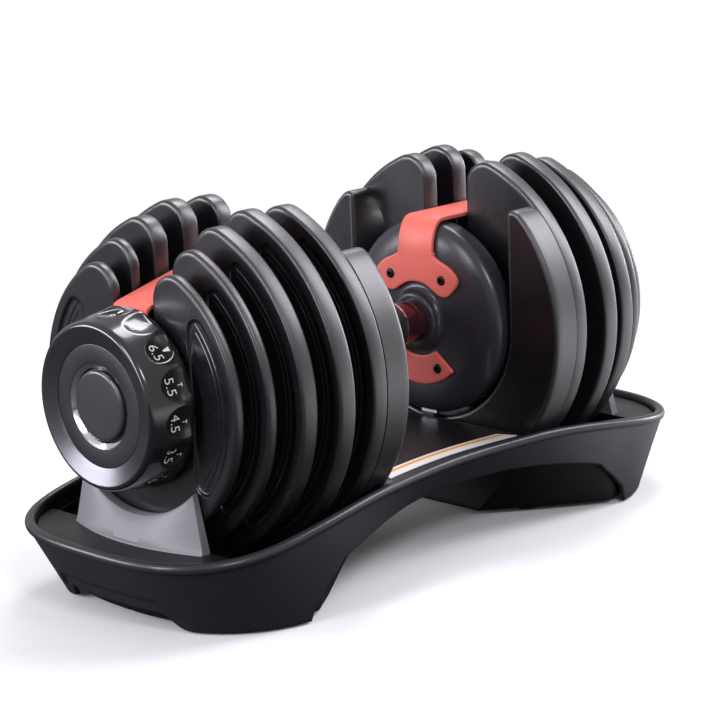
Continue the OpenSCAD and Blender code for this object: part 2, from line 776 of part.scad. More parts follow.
// Height inside the cover's dome at the side of the spring
spring_side_x = slide_x + slide_t / 2 - spring_r - spring_wire / 2;
dome_turn = acos(1 - (spring_side_x - cover_face_x - cover_wall) / (cover_edge_x - cover_face_x));
dome_inside = cover_flat_r - 3 + (cover_r - cover_wall - cover_flat_r + 3) * sin(dome_turn);
module lock_spring() {
    low = axis_h + slide_window + slide_bar + 0.5 + spring_wire / 2;
    high = axis_h + dome_inside - 0.8 - spring_wire / 2;
    steps = 12 * spring_turns;
    color("#c9ccd1")
        translate([slide_x + slide_t / 2, 0, 0])
            capped_loft([for (i = [0 : steps]) coil_ring(30 * i, mix(low, high, i / steps), 6)]);
}

// ---- Plates ----
module plate_outline_cut(r, t) {
    cx = slot_r + horn_fillet;
    cz = sqrt(pow(r - horn_fillet, 2) - cx * cx);
    far = 1.4 * r / (r - horn_fillet);
    across(-1, t + 2) {
        circle(r = slot_r);
        translate([-slot_r, 0]) square([slot_w, r + 5]);
        for (m = [0, 1])
            mirror([m, 0])
                difference() {
                    polygon([[slot_r - 1, cz], [cx, cz], [cx * far, cz * far], [slot_r - 1, cz * far]]);
                    translate([cx, cz]) circle(r = horn_fillet);
                }
    }
}
module plate_layer(x, r, t) {
    edge = min(1.5, t / 4);
    translate([x, 0, 0])
        difference() {
            on_axis(0)
                rotate_extrude()
                    polygon([[0, 0], [r - edge, 0], [r, edge], [r, t - edge], [r - edge, t], [0, t]]);
            across(t - face_recess, face_recess + 1)
                difference() {
                    circle(r = r - lip_w);
                    translate([-face_pad_w / 2, -r]) square([face_pad_w, 2 * r]);
                }
            plate_outline_cut(r, t);
        }
}
module plate_lug(face_x) {
    top = axis_h - ring_in + lug_run;
    translate([face_x - flange_len - side_run + 1, -lug_w / 2, top]) cube([flange_len + side_run, lug_w, lug_h]);
}
module plate(i) {
    color(i == 0 ? "#3a3a3e" : "#2e2e32") {
        if (i == 0) {
            plate_layer(horn_layer_x, plate_1_r, horn_layer_t);
            plate_lug(horn_layer_x);
            lobes();
        } else {
            plate_layer(plate_x(i), plate_r[i], plate_t[i]);
            plate_lug(plate_x(i));
        }
    }
}
module lobes() {
    t = horn_layer_x - plate_first_x + 1;
    difference() {
        on_axis(plate_first_x)
            rotate_extrude()
                polygon([[lobe_gap, 0], [plate_1_r - 3, 0], [plate_1_r - 1, 1], [plate_1_r, 3], [plate_1_r, t], [lobe_gap, t]]);
        translate([plate_first_x - 1, -lobe_gap, axis_h]) cube([t + 1, 2 * lobe_gap, 2 * plate_1_r]);
        translate([plate_first_x - 1, -plate_1_r - 1, axis_h + shoulder_z]) cube([t + 0.001, 2 * plate_1_r + 2, plate_1_r]);
    }
}

tray_shell();
tray_deck();
on_side("left") well();  // left_well
on_side("right") well();  // right_well
on_side("left") rack();  // left_rack
on_side("right") rack();  // right_rack
on_side("left") end_panel();  // left_end_panel
on_side("right") end_panel();  // right_end_panel
tray_feet();
unlock_pads();
deck_strip();
handle_tube();
grip_sleeve();
grip_rings();
tube_collars();
shaft_bushes();
on_side("left") cover();  // left_cover
on_side("right") cover();  // right_cover
on_side("left") bracket();  // left_bracket
on_side("right") bracket();  // right_bracket
on_side("left") lower_flange();  // left_lower_flange
on_side("right") lower_flange();  // right_lower_flange
flange_screws();
on_side("left") shaft();  // left_shaft
on_side("right") shaft();  // right_shaft
on_side("left") lock_wheel();  // left_lock_wheel
on_side("right") lock_wheel();  // right_lock_wheel
on_side("left") disc(0);  // left_disc_1
on_side("left") disc(1);  // left_disc_2
on_side("left") disc(2);  // left_disc_3
on_side("left") disc(3);  // left_disc_4
on_side("left") disc(4);  // left_disc_5
on_side("right") disc(0);  // right_disc_1
on_side("right") disc(1);  // right_disc_2
on_side("right") disc(2);  // right_disc_3
on_side("right") disc(3);  // right_disc_4
on_side("right") disc(4);  // right_disc_5
on_side("left") dial();  // left_dial
on_side("right") dial();  // right_dial
on_side("left") dial_ring();  // left_dial_ring
on_side("right") dial_ring();  // right_dial_ring
on_side("left") dial_cap();  // left_dial_cap
on_side("right") dial_cap();  // right_dial_cap
on_side("left") dial_screw();  // left_dial_screw
on_side("right") dial_screw();  // right_dial_screw
on_side("left") lock_slide();  // left_lock_slide
on_side("right") lock_slide();  // right_lock_slide
on_side("left") lock_spring();  // left_lock_spring
on_side("right") lock_spring();  // right_lock_spring
on_side("left") plate(0);  // left_plate_1
on_side("left") plate(1);  // left_plate_2
on_side("left") plate(2);  // left_plate_3
on_side("left") plate(3);  // left_plate_4
on_side("left") plate(4);  // left_plate_5
on_side("right") plate(0);  // right_plate_1
on_side("right") plate(1);  // right_plate_2
on_side("right") plate(2);  // right_plate_3
on_side("right") plate(3);  // right_plate_4
on_side("right") plate(4);  // right_plate_5
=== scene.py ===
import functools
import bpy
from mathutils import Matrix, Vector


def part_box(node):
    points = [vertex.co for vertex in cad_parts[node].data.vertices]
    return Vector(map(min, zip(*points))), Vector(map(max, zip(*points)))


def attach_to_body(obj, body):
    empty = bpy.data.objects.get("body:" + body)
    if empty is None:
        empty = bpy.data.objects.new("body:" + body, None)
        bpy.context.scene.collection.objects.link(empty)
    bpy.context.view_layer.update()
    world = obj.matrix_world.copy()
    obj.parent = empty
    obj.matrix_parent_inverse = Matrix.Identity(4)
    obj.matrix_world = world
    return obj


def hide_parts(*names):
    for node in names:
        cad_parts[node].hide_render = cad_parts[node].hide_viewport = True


bl_info = {
    "name": "Adjustable Dumbbell",
    "version": (1, 0, 0),
    "blender": (4, 5, 0),
    "location": "3D View > Sidebar > Dumbbell",
    "description": "Builds an adjustable dumbbell in its storage tray around a packed frame",
    "category": "Add Mesh",
}

from math import acos, asin, atan2, copysign, cos, degrees, hypot, pi, radians, sin, sqrt

import bmesh
import bpy
from mathutils import Quaternion, Vector
from mathutils.geometry import tessellate_polygon

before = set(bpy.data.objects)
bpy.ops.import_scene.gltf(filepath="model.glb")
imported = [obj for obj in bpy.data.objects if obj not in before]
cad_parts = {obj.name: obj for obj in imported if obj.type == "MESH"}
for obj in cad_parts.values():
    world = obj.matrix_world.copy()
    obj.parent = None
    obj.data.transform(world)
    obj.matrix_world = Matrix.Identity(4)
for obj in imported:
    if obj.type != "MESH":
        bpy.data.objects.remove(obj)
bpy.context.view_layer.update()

MM = 0.001
SIDES = ("left", "right")
TURN = 2 * pi


def node_mm(name):
    """Lowest and highest corner of a frame node, in millimetres."""
    low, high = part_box(name)
    return [c / MM for c in low], [c / MM for c in high]


# Height of the handle's axis
H = sum(end[2] for end in node_mm("handle_tube")) / 2


# ---------------------------------------------------------------- settings

def length(name, text, value):
    return bpy.props.FloatProperty(name=name, description=f"{text}, in mm", default=value, min=0, max=1000,
                                   subtype="DISTANCE")


def colour(name, text, value):
    return bpy.props.FloatVectorProperty(name=name, description=f"Colour of the {text}", default=value, size=3, min=0,
                                         max=1, subtype="COLOR")


def angle(name, degrees):
    return bpy.props.FloatProperty(name=name, description=f"{name} of the camera", default=radians(degrees),
                                   subtype="ANGLE")


class PlateSettings(bpy.types.PropertyGroup):
    slot_half: length("Slot half width", "Half the width of the slot for the handle", 16.0)
    horn_round: length("Horn rounding", "Radius that rounds each horn", 15.0)
    lip: length("Lip width", "Width of the raised lip round the face", 6.0)
    pad_half: length("Pad half width", "Half the width of the raised middle of each face", 42.0)
    recess: length("Recess depth", "Depth of the side recesses of each face", 1.6)
    edge: length("Edge rounding", "Rounding of the rim's edges", 2.0)
    shoulder: length("Shoulder height", "Height of the first plate's shoulders above the axis", 70.0)
    opening: length("Opening", "Half the width of the first plate's opening round the cover", 62.0)
    web: length("Web", "How far the webs of the first plate's lobes reach in at their root", 11.0)
    coat: colour("Coating", "black coating", (0.009, 0.0085, 0.0105))


class DialSettings(bpy.types.PropertyGroup):
    scallop: length("Scallop depth", "Depth of each thumb scallop", 1.5)
    scallop_round: length("Scallop radius", "Radius of the ball that shapes a scallop", 34.0)
    digit: length("Digit size", "Size of the numbers", 8.6)
    band: colour("Band", "number band", (0.012, 0.012, 0.014))
    face: colour("Face ring", "satin face ring", (0.10, 0.10, 0.11))
    # print also colours the arched lines by two of the numbers, which are partly a painted highlight
    print: colour("Print", "numbers", (0.85, 0.85, 0.86))


class HandleSettings(bpy.types.PropertyGroup):
    coral: colour("Bracket", "brackets' powder coat", (0.78, 0.15, 0.115))
    cover: colour("Cover", "inner covers", (0.030, 0.031, 0.040))
    grip: colour("Grip", "grip", (0.018, 0.018, 0.020))
    collar: colour("Collar", "collars beside the grip", (0.075, 0.018, 0.026))
    screw_head: length("Screw head", "Radius of a flange screw's head", 3.0)


class TraySettings(bpy.types.PropertyGroup):
    shell: colour("Shell", "tray's shell", (0.024, 0.023, 0.029))
    deck: colour("Deck", "deck and the wells", (0.008, 0.0078, 0.010))
    panel: colour("End panel", "end panels", (0.17, 0.165, 0.185))
    amber: colour("Stripe", "strip's stripe", (0.90, 0.42, 0.02))
    brow: length("End arch step", "How far the skirt steps in over each end arch", 2.0)


class StageSettings(bpy.types.PropertyGroup):
    azimuth: angle("Azimuth", -45.3)
    elevation: angle("Elevation", 13.7)
    roll: angle("Roll", -2.4)
    distance: bpy.props.FloatProperty(name="Distance", description="Camera distance from the middle of the dumbbell",
                                      default=1.36, unit="LENGTH")
    lens: bpy.props.FloatProperty(name="Lens", description="Focal length in mm", default=116.0)


# ---------------------------------------------------------------- outlines (mm, drawn across the handle)

def mix(a, b, t):
    return a + (b - a) * t


def between(p, q, t):
    """The point at share t of the way from p to q."""
    return tuple(mix(a, b, t) for a, b in zip(p, q))


def ease(t):
    return sin(pi / 2 * min(max(t, 0), 1)) ** 2


def polar(r, degrees, cx=0.0, cy=0.0):
    a = radians(degrees)
    return cx + r * cos(a), cy + r * sin(a)


def arc(cx, cy, r, a0, a1, n):
    return [polar(r, a0 + (a1 - a0) * i / n, cx, cy) for i in range(n + 1)]


def circle(r, z, steps):
    """A ring of points about the vertical."""
    return [(r * cos(TURN * i / steps), r * sin(TURN * i / steps), z) for i in range(steps)]


def corner(a, p, b, n=5):
    """A rounded corner from a to b about p."""
    return [tuple((1 - t) ** 2 * a[k] + 2 * t * (1 - t) * p[k] + t * t * b[k] for k in (0, 1))
            for t in (i / n for i in range(n + 1))]


def inset(line, d):
    """The closed outline moved inwards by d; it runs anticlockwise."""
    out, n = [], len(line)
    for i, (x, y) in enumerate(line):
        ax, ay = x - line[i - 1][0], y - line[i - 1][1]
        bx, by = line[(i + 1) % n][0] - x, line[(i + 1) % n][1] - y
        la, lb = hypot(ax, ay) or 1, hypot(bx, by) or 1
        nx, ny = -(ay / la + by / lb), ax / la + bx / lb
        k = 2 * d / max(nx * nx + ny * ny, 0.4)
        out.append((x + nx * k, y + ny * k))
    return out


def across(line, steps, x0=0.0):
    """The outline stood across the handle once for each step, a pair of inset and place along it."""
    return [[(x0 + x, y, H + z) for y, z in inset(line, d)] for d, x in steps]


def smooth_loop(points, steps):
    """A closed curve through the points."""
    out, n = [], len(points)
    for i in range(n):
        p0, p1, p2, p3 = points[i - 1], points[i], points[(i + 1) % n], points[(i + 2) % n]
        for s in range(steps):
            t = s / steps
            out.append(tuple(0.5 * (2 * p1[k] + (p2[k] - p0[k]) * t + (2 * p0[k] - 5 * p1[k] + 4 * p2[k] - p3[k]) * t * t
                                    + (3 * p1[k] - p0[k] - 3 * p2[k] + p3[k]) * t ** 3) for k in (0, 1)))
    return out


def flipped(line):
    return [(-x, y) for x, y in reversed(line)]


def both_sides(half):
    """Closes a half outline, given from bottom to top on the right, with its mirror image."""
    return half + flipped(half[1:-1])


# ---------------------------------------------------------------- solids

class Solid:
    """Collects the points, faces and finishes of one piece, in mm."""

    def __init__(self):
        self.points, self.faces, self.finish = [], [], []

    def ring(self, points):
        start = len(self.points)
        self.points += points
        return list(range(start, len(self.points)))

    def face(self, corners, finish=0):
        self.faces.append(tuple(corners))
        self.finish.append(finish)

    def band(self, a, b, finish=0, closed=True):
        for i in range(len(a) if closed else len(a) - 1):
            j = (i + 1) % len(a)
            self.face((a[i], a[j], b[j], b[i]), finish)

    def cap(self, ring, finish=0, holes=()):
        loops = [ring, *holes]
        order = [i for loop in loops for i in loop]
        for tri in tessellate_polygon([[Vector(self.points[i]) for i in loop] for loop in loops]):
            self.face((order[i] for i in tri), finish)

    def loft(self, rings, finish=0, closed=True, caps=(True, True)):
        """Joins rings of points; finish is one for all, or a list with one for each band."""
        made = [self.ring(r) for r in rings]
        listed = isinstance(finish, list)
        for k, (a, b) in enumerate(zip(made, made[1:])):
            self.band(a, b, finish[k] if listed else finish, closed)
        if caps[0]:
            self.cap(made[0], 0 if listed else finish)
        if caps[1]:
            self.cap(made[-1], finish[-1] if listed else finish)
        return made

    def lathe(self, profile, steps=128, finish=0, closed=True):
        """Turns a profile of (x, radius) about the handle's axis; finish as for a loft."""
        made = [self.ring([(x, y, H + z) for y, z, _ in circle(r, 0, steps)] if r else [(x, 0, H)]) for x, r in profile]
        for k, (a, b) in enumerate(zip(made, made[1:] + made[:1] if closed else made[1:])):
            f = finish[k] if isinstance(finish, list) else finish
            if len(a) == len(b):
                self.band(a, b, f)
                continue
            tip, rim = (a, b) if len(a) == 1 else (b, a)
            for i in range(steps):
                self.face((tip[0], rim[i], rim[(i + 1) % steps]), f)

    def slab(self, outline, x0, x1, edge=0.6, holes=()):
        """A flat plate across the handle with rounded edges, and holes through it."""
        soft = edge * 0.3
        steps = [(edge + 1.0, x0), (edge, x0), (soft, x0 + soft), (0, x0 + edge), (0, x1 - edge), (soft, x1 - soft),
                 (edge, x1), (edge + 1.0, x1)]
        made = self.loft(across(outline, steps), caps=(False, False))
        inner = []
        for hole in holes:
            rings = [self.ring(r) for r in across(hole, [(-edge, x0), (0, x0 + edge), (0, x1 - edge), (-edge, x1)])]
            for a, b in zip(rings, rings[1:]):
                self.band(b, a)
            inner.append(rings)
        self.cap(made[0], 0, [r[0] for r in inner])
        self.cap(made[-1], 0, [r[-1] for r in inner])

    def block(self, low, high, edge=0.6):
        """A box with rounded edges."""
        rings, e, soft = [], edge * 0.8, edge * 0.3
        for d, z in ((edge, low[2]), (soft, low[2] + soft), (0, low[2] + edge), (0, high[2] - edge),
                     (soft, high[2] - soft), (edge, high[2])):
            x0, x1, y0, y1 = low[0] + d, high[0] - d, low[1] + d, high[1] - d
            rings.append([(x0 + e, y0, z), (x1 - e, y0, z), (x1, y0 + e, z), (x1, y1 - e, z),
                          (x1 - e, y1, z), (x0 + e, y1, z), (x0, y1 - e, z), (x0, y0 + e, z)])
        self.loft(rings)


def solid_mesh(name, solid, side="right"):
    """A mesh of the solid; for the left side it is turned half a turn about the vertical."""
    k = -1 if side == "left" else 1
    mesh = bpy.data.meshes.new(name)
    mesh.from_pydata([Vector((k * x, k * y, z)) * MM for x, y, z in solid.points], [], solid.faces)
    return mesh


def clean(mesh, merge, sharp=None):
    """Merges doubled points, faces everything outwards, and shades smooth up to the sharp angle."""
    bm = bmesh.new()
    bm.from_mesh(mesh)
    bmesh.ops.remove_doubles(bm, verts=bm.verts, dist=merge * MM)
    bmesh.ops.recalc_face_normals(bm, faces=bm.faces)
    bm.to_mesh(mesh)
    bm.free()
    if sharp:
        mesh.polygons.foreach_set("use_smooth", [True] * len(mesh.polygons))
        mesh.set_sharp_from_angle(angle=radians(sharp))


def new_object(name, data):
    obj = bpy.data.objects.new(name, data)
    bpy.context.scene.collection.objects.link(obj)
    return obj


def plain_mesh(obj):
    """A plain mesh of the object as its modifiers leave it."""
    bpy.context.view_layer.update()
    return bpy.data.meshes.new_from_object(obj.evaluated_get(bpy.context.evaluated_depsgraph_get()))


def discard(obj):
    mesh = obj.data
    bpy.data.objects.remove(obj)
    bpy.data.meshes.remove(mesh)


def attach(obj, body, replaces=()):
    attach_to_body(obj, body)
    if replaces:
        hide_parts(*replaces)


def piece(name, solid, body, slot, finishes, replaces=(), side="right", sharp=32, merge=0.004):
    """Makes a piece from a solid, rides it on its body and lets it stand for its frame nodes."""
    mesh = solid_mesh(name, solid, side)
    mesh.polygons.foreach_set("material_index", solid.finish)
    for label in finishes:
        mesh.materials.append(finish(label))
    clean(mesh, merge, sharp)
    obj = new_object(name, mesh)
    attach(obj, body, replaces)
    return obj


def dress(label, *nodes):
    """Gives frame nodes that keep their own shape a finish."""
    for node in nodes:
        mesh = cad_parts[node].data
        mesh.materials.clear()
        mesh.materials.append(finish(label))


# ---------------------------------------------------------------- finishes

def fill(tree, node, inputs):
    """Gives inputs of a node their values, or links them to sockets."""
    for name, value in inputs.items():
        if isinstance(value, bpy.types.NodeSocket):
            tree.links.new(value, node.inputs[name])
        else:
            node.inputs[name].default_value = value
    return node


def add(tree, kind, inputs=None, **fields):
    """Adds a node, sets its fields and fills its inputs."""
    node = tree.nodes.new(kind)
    for name, value in fields.items():
        setattr(node, name, value)
    return fill(tree, node, inputs or {})


def calc(tree, operation, a, b):
    return add(tree, "ShaderNodeMath", {0: a, 1: b}, operation=operation).outputs[0]


def blend(tree, share, a, b):
    return add(tree, "ShaderNodeMix", {"Factor": share, "A": a, "B": b}, data_type="RGBA").outputs["Result"]


def spread(tree, value, limits, **fields):
    """Maps a value from the first two limits to the last two."""
    names = ("From Min", "From Max", "To Min", "To Max")
    return add(tree, "ShaderNodeMapRange", {"Value": value, **dict(zip(names, limits))}, **fields).outputs["Result"]


def new_tree(name, kind, inputs, outputs):
    """A node group with its sockets, given by name and type, and the sockets that its inputs come from."""
    tree = bpy.data.node_groups.new(name, kind)
    for in_out, sockets in (("INPUT", inputs), ("OUTPUT", outputs)):
        for label, socket in sockets.items():
            tree.interface.new_socket(name=label, in_out=in_out, socket_type="NodeSocket" + socket)
    return tree, tree.nodes.new("NodeGroupInput").outputs


@functools.cache
def surface_group():
    """Fine grain, pits, broad clouding and scuffs that every finish shares."""
    tree, given = new_tree("Surface Variation", "ShaderNodeTree",
                           {"Vector": "Vector", "Grain Scale": "Float", "Pit Scale": "Float", "Pits": "Float"},
                           {"Cloud": "Float", "Height": "Float", "Scuff": "Float"})
    place = given["Vector"]
    grain = add(tree, "ShaderNodeTexNoise", {"Vector": place, "Scale": given["Grain Scale"], "Detail": 3})
    cloud = add(tree, "ShaderNodeTexNoise", {"Vector": place, "Scale": 14, "Detail": 4, "Roughness": 0.6})
    pits = add(tree, "ShaderNodeTexVoronoi", {"Vector": place, "Scale": given["Pit Scale"], "Smoothness": 0.6},
               feature="SMOOTH_F1")
    scuff = add(tree, "ShaderNodeTexNoise", {"Vector": place, "Scale": 60, "Detail": 6, "Roughness": 0.75,
                                             "Distortion": 1.5})
    pitted = calc(tree, "MULTIPLY", pits.outputs["Distance"], given["Pits"])
    height = calc(tree, "ADD", grain.outputs["Fac"], pitted)
    worn = spread(tree, scuff.outputs["Fac"], (0.62, 0.78, 0, 1))
    add(tree, "NodeGroupOutput", {"Cloud": cloud.outputs["Fac"], "Height": height, "Scuff": worn})
    return tree


# Colour (or the setting that holds it), roughness, how far the roughness strays, and what differs from PLAIN.
# gain brightens the colour, tint is how far the clouding changes it, and bump_mm is the height of the relief.
FINISHES = {
    "plate_satin_coat": ("plates.coat", 0.27, 0.06, dict(grain=1500, bump=0.22, tint=0.18, coat=0.15, coat_rough=0.16,
                                                         scuff=0.12)),
    "plate_cast_rim": ("plates.coat", 0.38, 0.08, dict(grain=900, bump=0.4, bump_mm=0.12, pits=0.7, pit_scale=420,
                                                       tint=0.25, coat=0.9, coat_rough=0.4, scuff=0.2)),
    "plate_groove_gloss": ("plates.coat", 0.22, 0.05, dict(gain=1.6, coat=0.3)),
    "dial_gloss_black": ("dials.band", 0.20, 0.04, dict(grain=900, bump=0.04, tint=0.1, coat=0.6, coat_rough=0.06)),
    "dial_satin_grey": ("dials.face", 0.24, 0.04, dict(metallic=0.85, grain=2600, bump=0.12, bump_mm=0.03, tint=0.08)),
    "cap_satin_black": ((0.035, 0.035, 0.038), 0.26, 0.05, dict(grain=2200, bump=0.08, coat=0.2)),
    # White for the numbers, ticks and arrows, and for the arched lines, which are partly a painted highlight
    "print_white_ink": ("dials.print", 0.5, 0.05, dict(grain=3000, bump=0.05, tint=0.03)),
    "cover_satin_grey": ("handle.cover", 0.27, 0.06, dict(grain=1300, bump=0.18, tint=0.15)),
    "bracket_coral_coat": ("handle.coral", 0.44, 0.06, dict(grain=1500, bump=0.3, pits=0.4, pit_scale=900, tint=0.05)),
    "grip_black_rubber": ("handle.grip", 0.38, 0.06, dict(grain=2200, bump=0.2, tint=0.15)),
    "collar_burgundy": ("handle.collar", 0.2, 0.05, dict(metallic=0.55, tint=0.1, coat=0.4)),
    "bright_chrome": ((0.82, 0.82, 0.84), 0.10, 0.04, dict(metallic=1.0, grain=3000, bump=0.03, tint=0.03)),
    "turned_steel": ((0.46, 0.47, 0.49), 0.28, 0.07, dict(metallic=1.0, grain=240, bump=0.2, bump_mm=0.02, tint=0.08,
                                                          stretch=(8, 1, 1))),
    "blackened_steel": ((0.11, 0.112, 0.12), 0.36, 0.08, dict(metallic=0.9, grain=1500, tint=0.2)),
    "bush_bronze": ((0.52, 0.36, 0.15), 0.32, 0.07, dict(metallic=1.0)),
    "screw_black_oxide": ((0.018, 0.018, 0.02), 0.32, 0.08, dict(metallic=0.7, tint=0.2)),
    "tray_satin_charcoal": ("tray.shell", 0.30, 0.06, dict(grain=1300, bump=0.2, scuff=0.1)),
    "tray_dark_deck": ("tray.deck", 0.40, 0.07, dict(grain=1300, bump=0.2, tint=0.15)),
    "panel_grained_grey": ("tray.panel", 0.46, 0.05, dict(grain=1700, bump=0.3, tint=0.08)),
    "strip_white": ((0.86, 0.85, 0.83), 0.4, 0.04, dict(grain=2500, bump=0.05, tint=0.03)),
    "strip_amber": ("tray.amber", 0.4, 0.04, dict(grain=2500, bump=0.05, tint=0.06)),
    "foot_rubber": ((0.02, 0.02, 0.022), 0.7, 0.08, dict(grain=1600, bump=0.3, bump_mm=0.06, tint=0.2)),
}
PLAIN = dict(gain=1.0, metallic=0.0, grain=1800, bump=0.15, bump_mm=0.05, pits=0.0, pit_scale=700, tint=0.12,
             coat=0.0, coat_rough=0.1, scuff=0.0, stretch=None)


@functools.cache
def finish(name):
    """The procedural finish of that name: clouded colour, uneven roughness and fine relief."""
    base, rough, stray, differs = FINISHES[name]
    look = {**PLAIN, **differs}
    if isinstance(base, str):
        group, field = base.split(".")
        base = getattr(getattr(bpy.context.scene, "dumbbell_" + group), field)
    mat = bpy.data.materials.new(name)
    mat.use_nodes = True
    tree = mat.node_tree

    def shade(k, lift=0.0):
        return (*[min(1, c * look["gain"] * k + lift) for c in base], 1)

    place = add(tree, "ShaderNodeTexCoord").outputs["Object"]
    if look["stretch"]:
        place = add(tree, "ShaderNodeMapping", {"Vector": place, "Scale": look["stretch"]}).outputs["Vector"]
    surface = add(tree, "ShaderNodeGroup", {"Vector": place, "Grain Scale": look["grain"], "Pits": look["pits"],
                                            "Pit Scale": look["pit_scale"]}, node_tree=surface_group())
    cloud = surface.outputs["Cloud"]
    out = blend(tree, cloud, shade(1 - look["tint"]), shade(1 + look["tint"]))
    if look["scuff"]:
        out = blend(tree, calc(tree, "MULTIPLY", surface.outputs["Scuff"], look["scuff"]), out, shade(1.6, 0.02))
    relief = add(tree, "ShaderNodeBump", {"Strength": look["bump"], "Distance": look["bump_mm"] * MM,
                                          "Height": surface.outputs["Height"]})
    fill(tree, tree.nodes["Principled BSDF"], {
        "Base Color": out, "Roughness": spread(tree, cloud, (0.3, 0.7, rough - stray, rough + stray)),
        "Normal": relief.outputs["Normal"], "Metallic": look["metallic"],
        "Coat Weight": look["coat"], "Coat Roughness": look["coat_rough"]})
    return mat


# ---------------------------------------------------------------- node-built copies

def close_tree(tree, shape, paint):
    """Ends a tree with its copies made real and its finish set."""
    real = add(tree, "GeometryNodeRealizeInstances", {"Geometry": shape})
    painted = add(tree, "GeometryNodeSetMaterial", {"Geometry": real.outputs["Geometry"], "Material": paint})
    add(tree, "NodeGroupOutput", {"Geometry": painted.outputs["Geometry"]})
    return tree


@functools.cache
def copies_tree():
    """Copies a modelled shape onto points, each turned by its attribute."""
    tree, given = new_tree("Place Copies", "GeometryNodeTree",
                           {"Spots": "Geometry", "Shape": "Object", "Finish": "Material"}, {"Geometry": "Geometry"})
    shape = add(tree, "GeometryNodeObjectInfo", {"Object": given["Shape"], "As Instance": True},
                transform_space="ORIGINAL")
    turn = add(tree, "GeometryNodeInputNamedAttribute", {"Name": "turn"}, data_type="FLOAT_VECTOR")
    put = add(tree, "GeometryNodeInstanceOnPoints", {"Points": given["Spots"], "Instance": shape.outputs["Geometry"],
                                                     "Rotation": turn.outputs["Attribute"]})
    return close_tree(tree, put.outputs["Instances"], given["Finish"])


@functools.cache
def coil_tree():
    """A coil spring with closed wire ends."""
    sizes = dict.fromkeys(("Coil Radius", "Wire Radius", "Height", "Turns"), "Float")
    tree, given = new_tree("Coil Spring", "GeometryNodeTree", {**sizes, "Foot": "Vector", "Finish": "Material"},
                           {"Geometry": "Geometry"})
    coil = add(tree, "GeometryNodeCurveSpiral", {
        "Resolution": 28, "Rotations": given["Turns"], "Start Radius": given["Coil Radius"],
        "End Radius": given["Coil Radius"], "Height": given["Height"]})
    wire = add(tree, "GeometryNodeCurvePrimitiveCircle", {"Resolution": 10, "Radius": given["Wire Radius"]})
    sweep = add(tree, "GeometryNodeCurveToMesh", {"Curve": coil.outputs["Curve"], "Profile Curve": wire.outputs["Curve"],
                                                  "Fill Caps": True})
    move = add(tree, "GeometryNodeTransform", {"Geometry": sweep.outputs["Mesh"], "Translation": given["Foot"]})
    return close_tree(tree, move.outputs["Geometry"], given["Finish"])


def grow(name, tree, values, body, slot, node, spots=()):
    """Runs a node tree on a bare mesh of spots and keeps the result as a piece."""
    mesh = bpy.data.meshes.new(name + "_spots")
    if spots:
        mesh.from_pydata([Vector(p) * MM for p, _ in spots], [], [])
        turn = mesh.attributes.new("turn", "FLOAT_VECTOR", "POINT")
        turn.data.foreach_set("vector", [c for _, t in spots for c in t])
    obj = new_object(name, mesh)
    mod = obj.modifiers.new("grow", "NODES")
    mod.node_group = tree
    for item in tree.interface.items_tree:
        if item.item_type == "SOCKET" and item.in_out == "INPUT" and item.name in values:
            mod[item.identifier] = values[item.name]
    made = plain_mesh(obj)
    obj.modifiers.remove(mod)
    obj.data = made
    bpy.data.meshes.remove(mesh)
    clean(made, 0.002, 32)
    attach(obj, body, [node])


def grow_copies(name, rings, spots, paint, *where):
    """Lofts a shape and copies it to its spots, given as places and turns."""
    shape = Solid()
    shape.loft(rings)
    model = new_object("model", solid_mesh("model", shape))
    grow(name, copies_tree(), {"Shape": model, "Finish": finish(paint)}, *where, spots)
    discard(model)


# ---------------------------------------------------------------- plates

LUG = 4.1   # how far a plate's lug stands out of its back


def soft_corner(radius, inner, soft):
    """Middle and lean of the rounding between a circle and an upright edge at inner."""
    cx = inner + soft
    cz = sqrt((radius - soft) ** 2 - cx * cx)
    return cx, cz, degrees(atan2(cz, cx))


def plate_outline(radius, slot, horn):
    cx, cz, lean = soft_corner(radius, slot, horn)
    half = arc(0, 0, radius, -90, lean, 60) + arc(cx, cz, horn, lean, 180, 16)[1:]
    half += [(slot, cz * (1 - i / 8)) for i in range(1, 9)]
    return both_sides(half + arc(0, 0, slot, 0, -90, 12)[1:])


def crescent_outline(radius, pad, soft):
    cx, cz, lean = soft_corner(radius, pad, soft)
    line = arc(0, 0, radius, -lean, lean, 56) + arc(cx, cz, soft, lean, 180, 10)[1:]
    line += [(pad, cz - 2 * cz * i / 14) for i in range(1, 15)]
    return line + arc(cx, -cz, soft, 180, 360 - lean, 10)[1:-1]


def add_plate(solid, x0, thick, radius, s):
    """One slotted plate: rounded rim, raised middle, recessed sides with a double line."""
    e = min(s.edge, thick * 0.3)
    front, depth, rim = x0 + thick, s.recess, radius - s.lip
    profile = [(e + 1.4, 0), (e, 0), (e * 0.5, e * 0.13), (e * 0.13, e * 0.5), (0, e), (0, thick - e),
               (e * 0.13, thick - e * 0.5), (e * 0.5, thick - e * 0.13), (e, thick), (e + 1.4, thick)]
    made = solid.loft(across(plate_outline(radius, s.slot_half, s.horn_round), profile, x0),
                      [0, 0, 1, 1, 1, 1, 1, 0, 0], caps=(True, False))
    lens = crescent_outline(rim, s.pad_half, 7.0)
    walls = [(-1.0, 0), (0, 0), (0.35, -0.12), (0.75, -0.5), (1.15, -depth * 0.8), (1.7, -depth), (2.8, -depth)]
    holes = []
    for line, base in ((lens, 0), (flipped(lens), 180)):
        holes.append(solid.loft(across(line, walls, front), caps=(False, True))[0])
        for r, h in ((rim - 5.4, 0.55), (rim - 8.6, 0.45)):
            reach = degrees(acos((s.pad_half + 5.5) / r))
            section = [(front - depth - 0.2 + h * 1.1 * sin(b), r + h * cos(b))
                       for b in map(radians, (-30, 0, 45, 90, 135, 180, 210))]
            turns = [radians(base - reach + 2 * reach * i / 48) for i in range(49)]
            solid.loft([[(x, k * cos(a), H + k * sin(a)) for x, k in section] for a in turns], 2)
    solid.cap(made[-1], 0, holes)


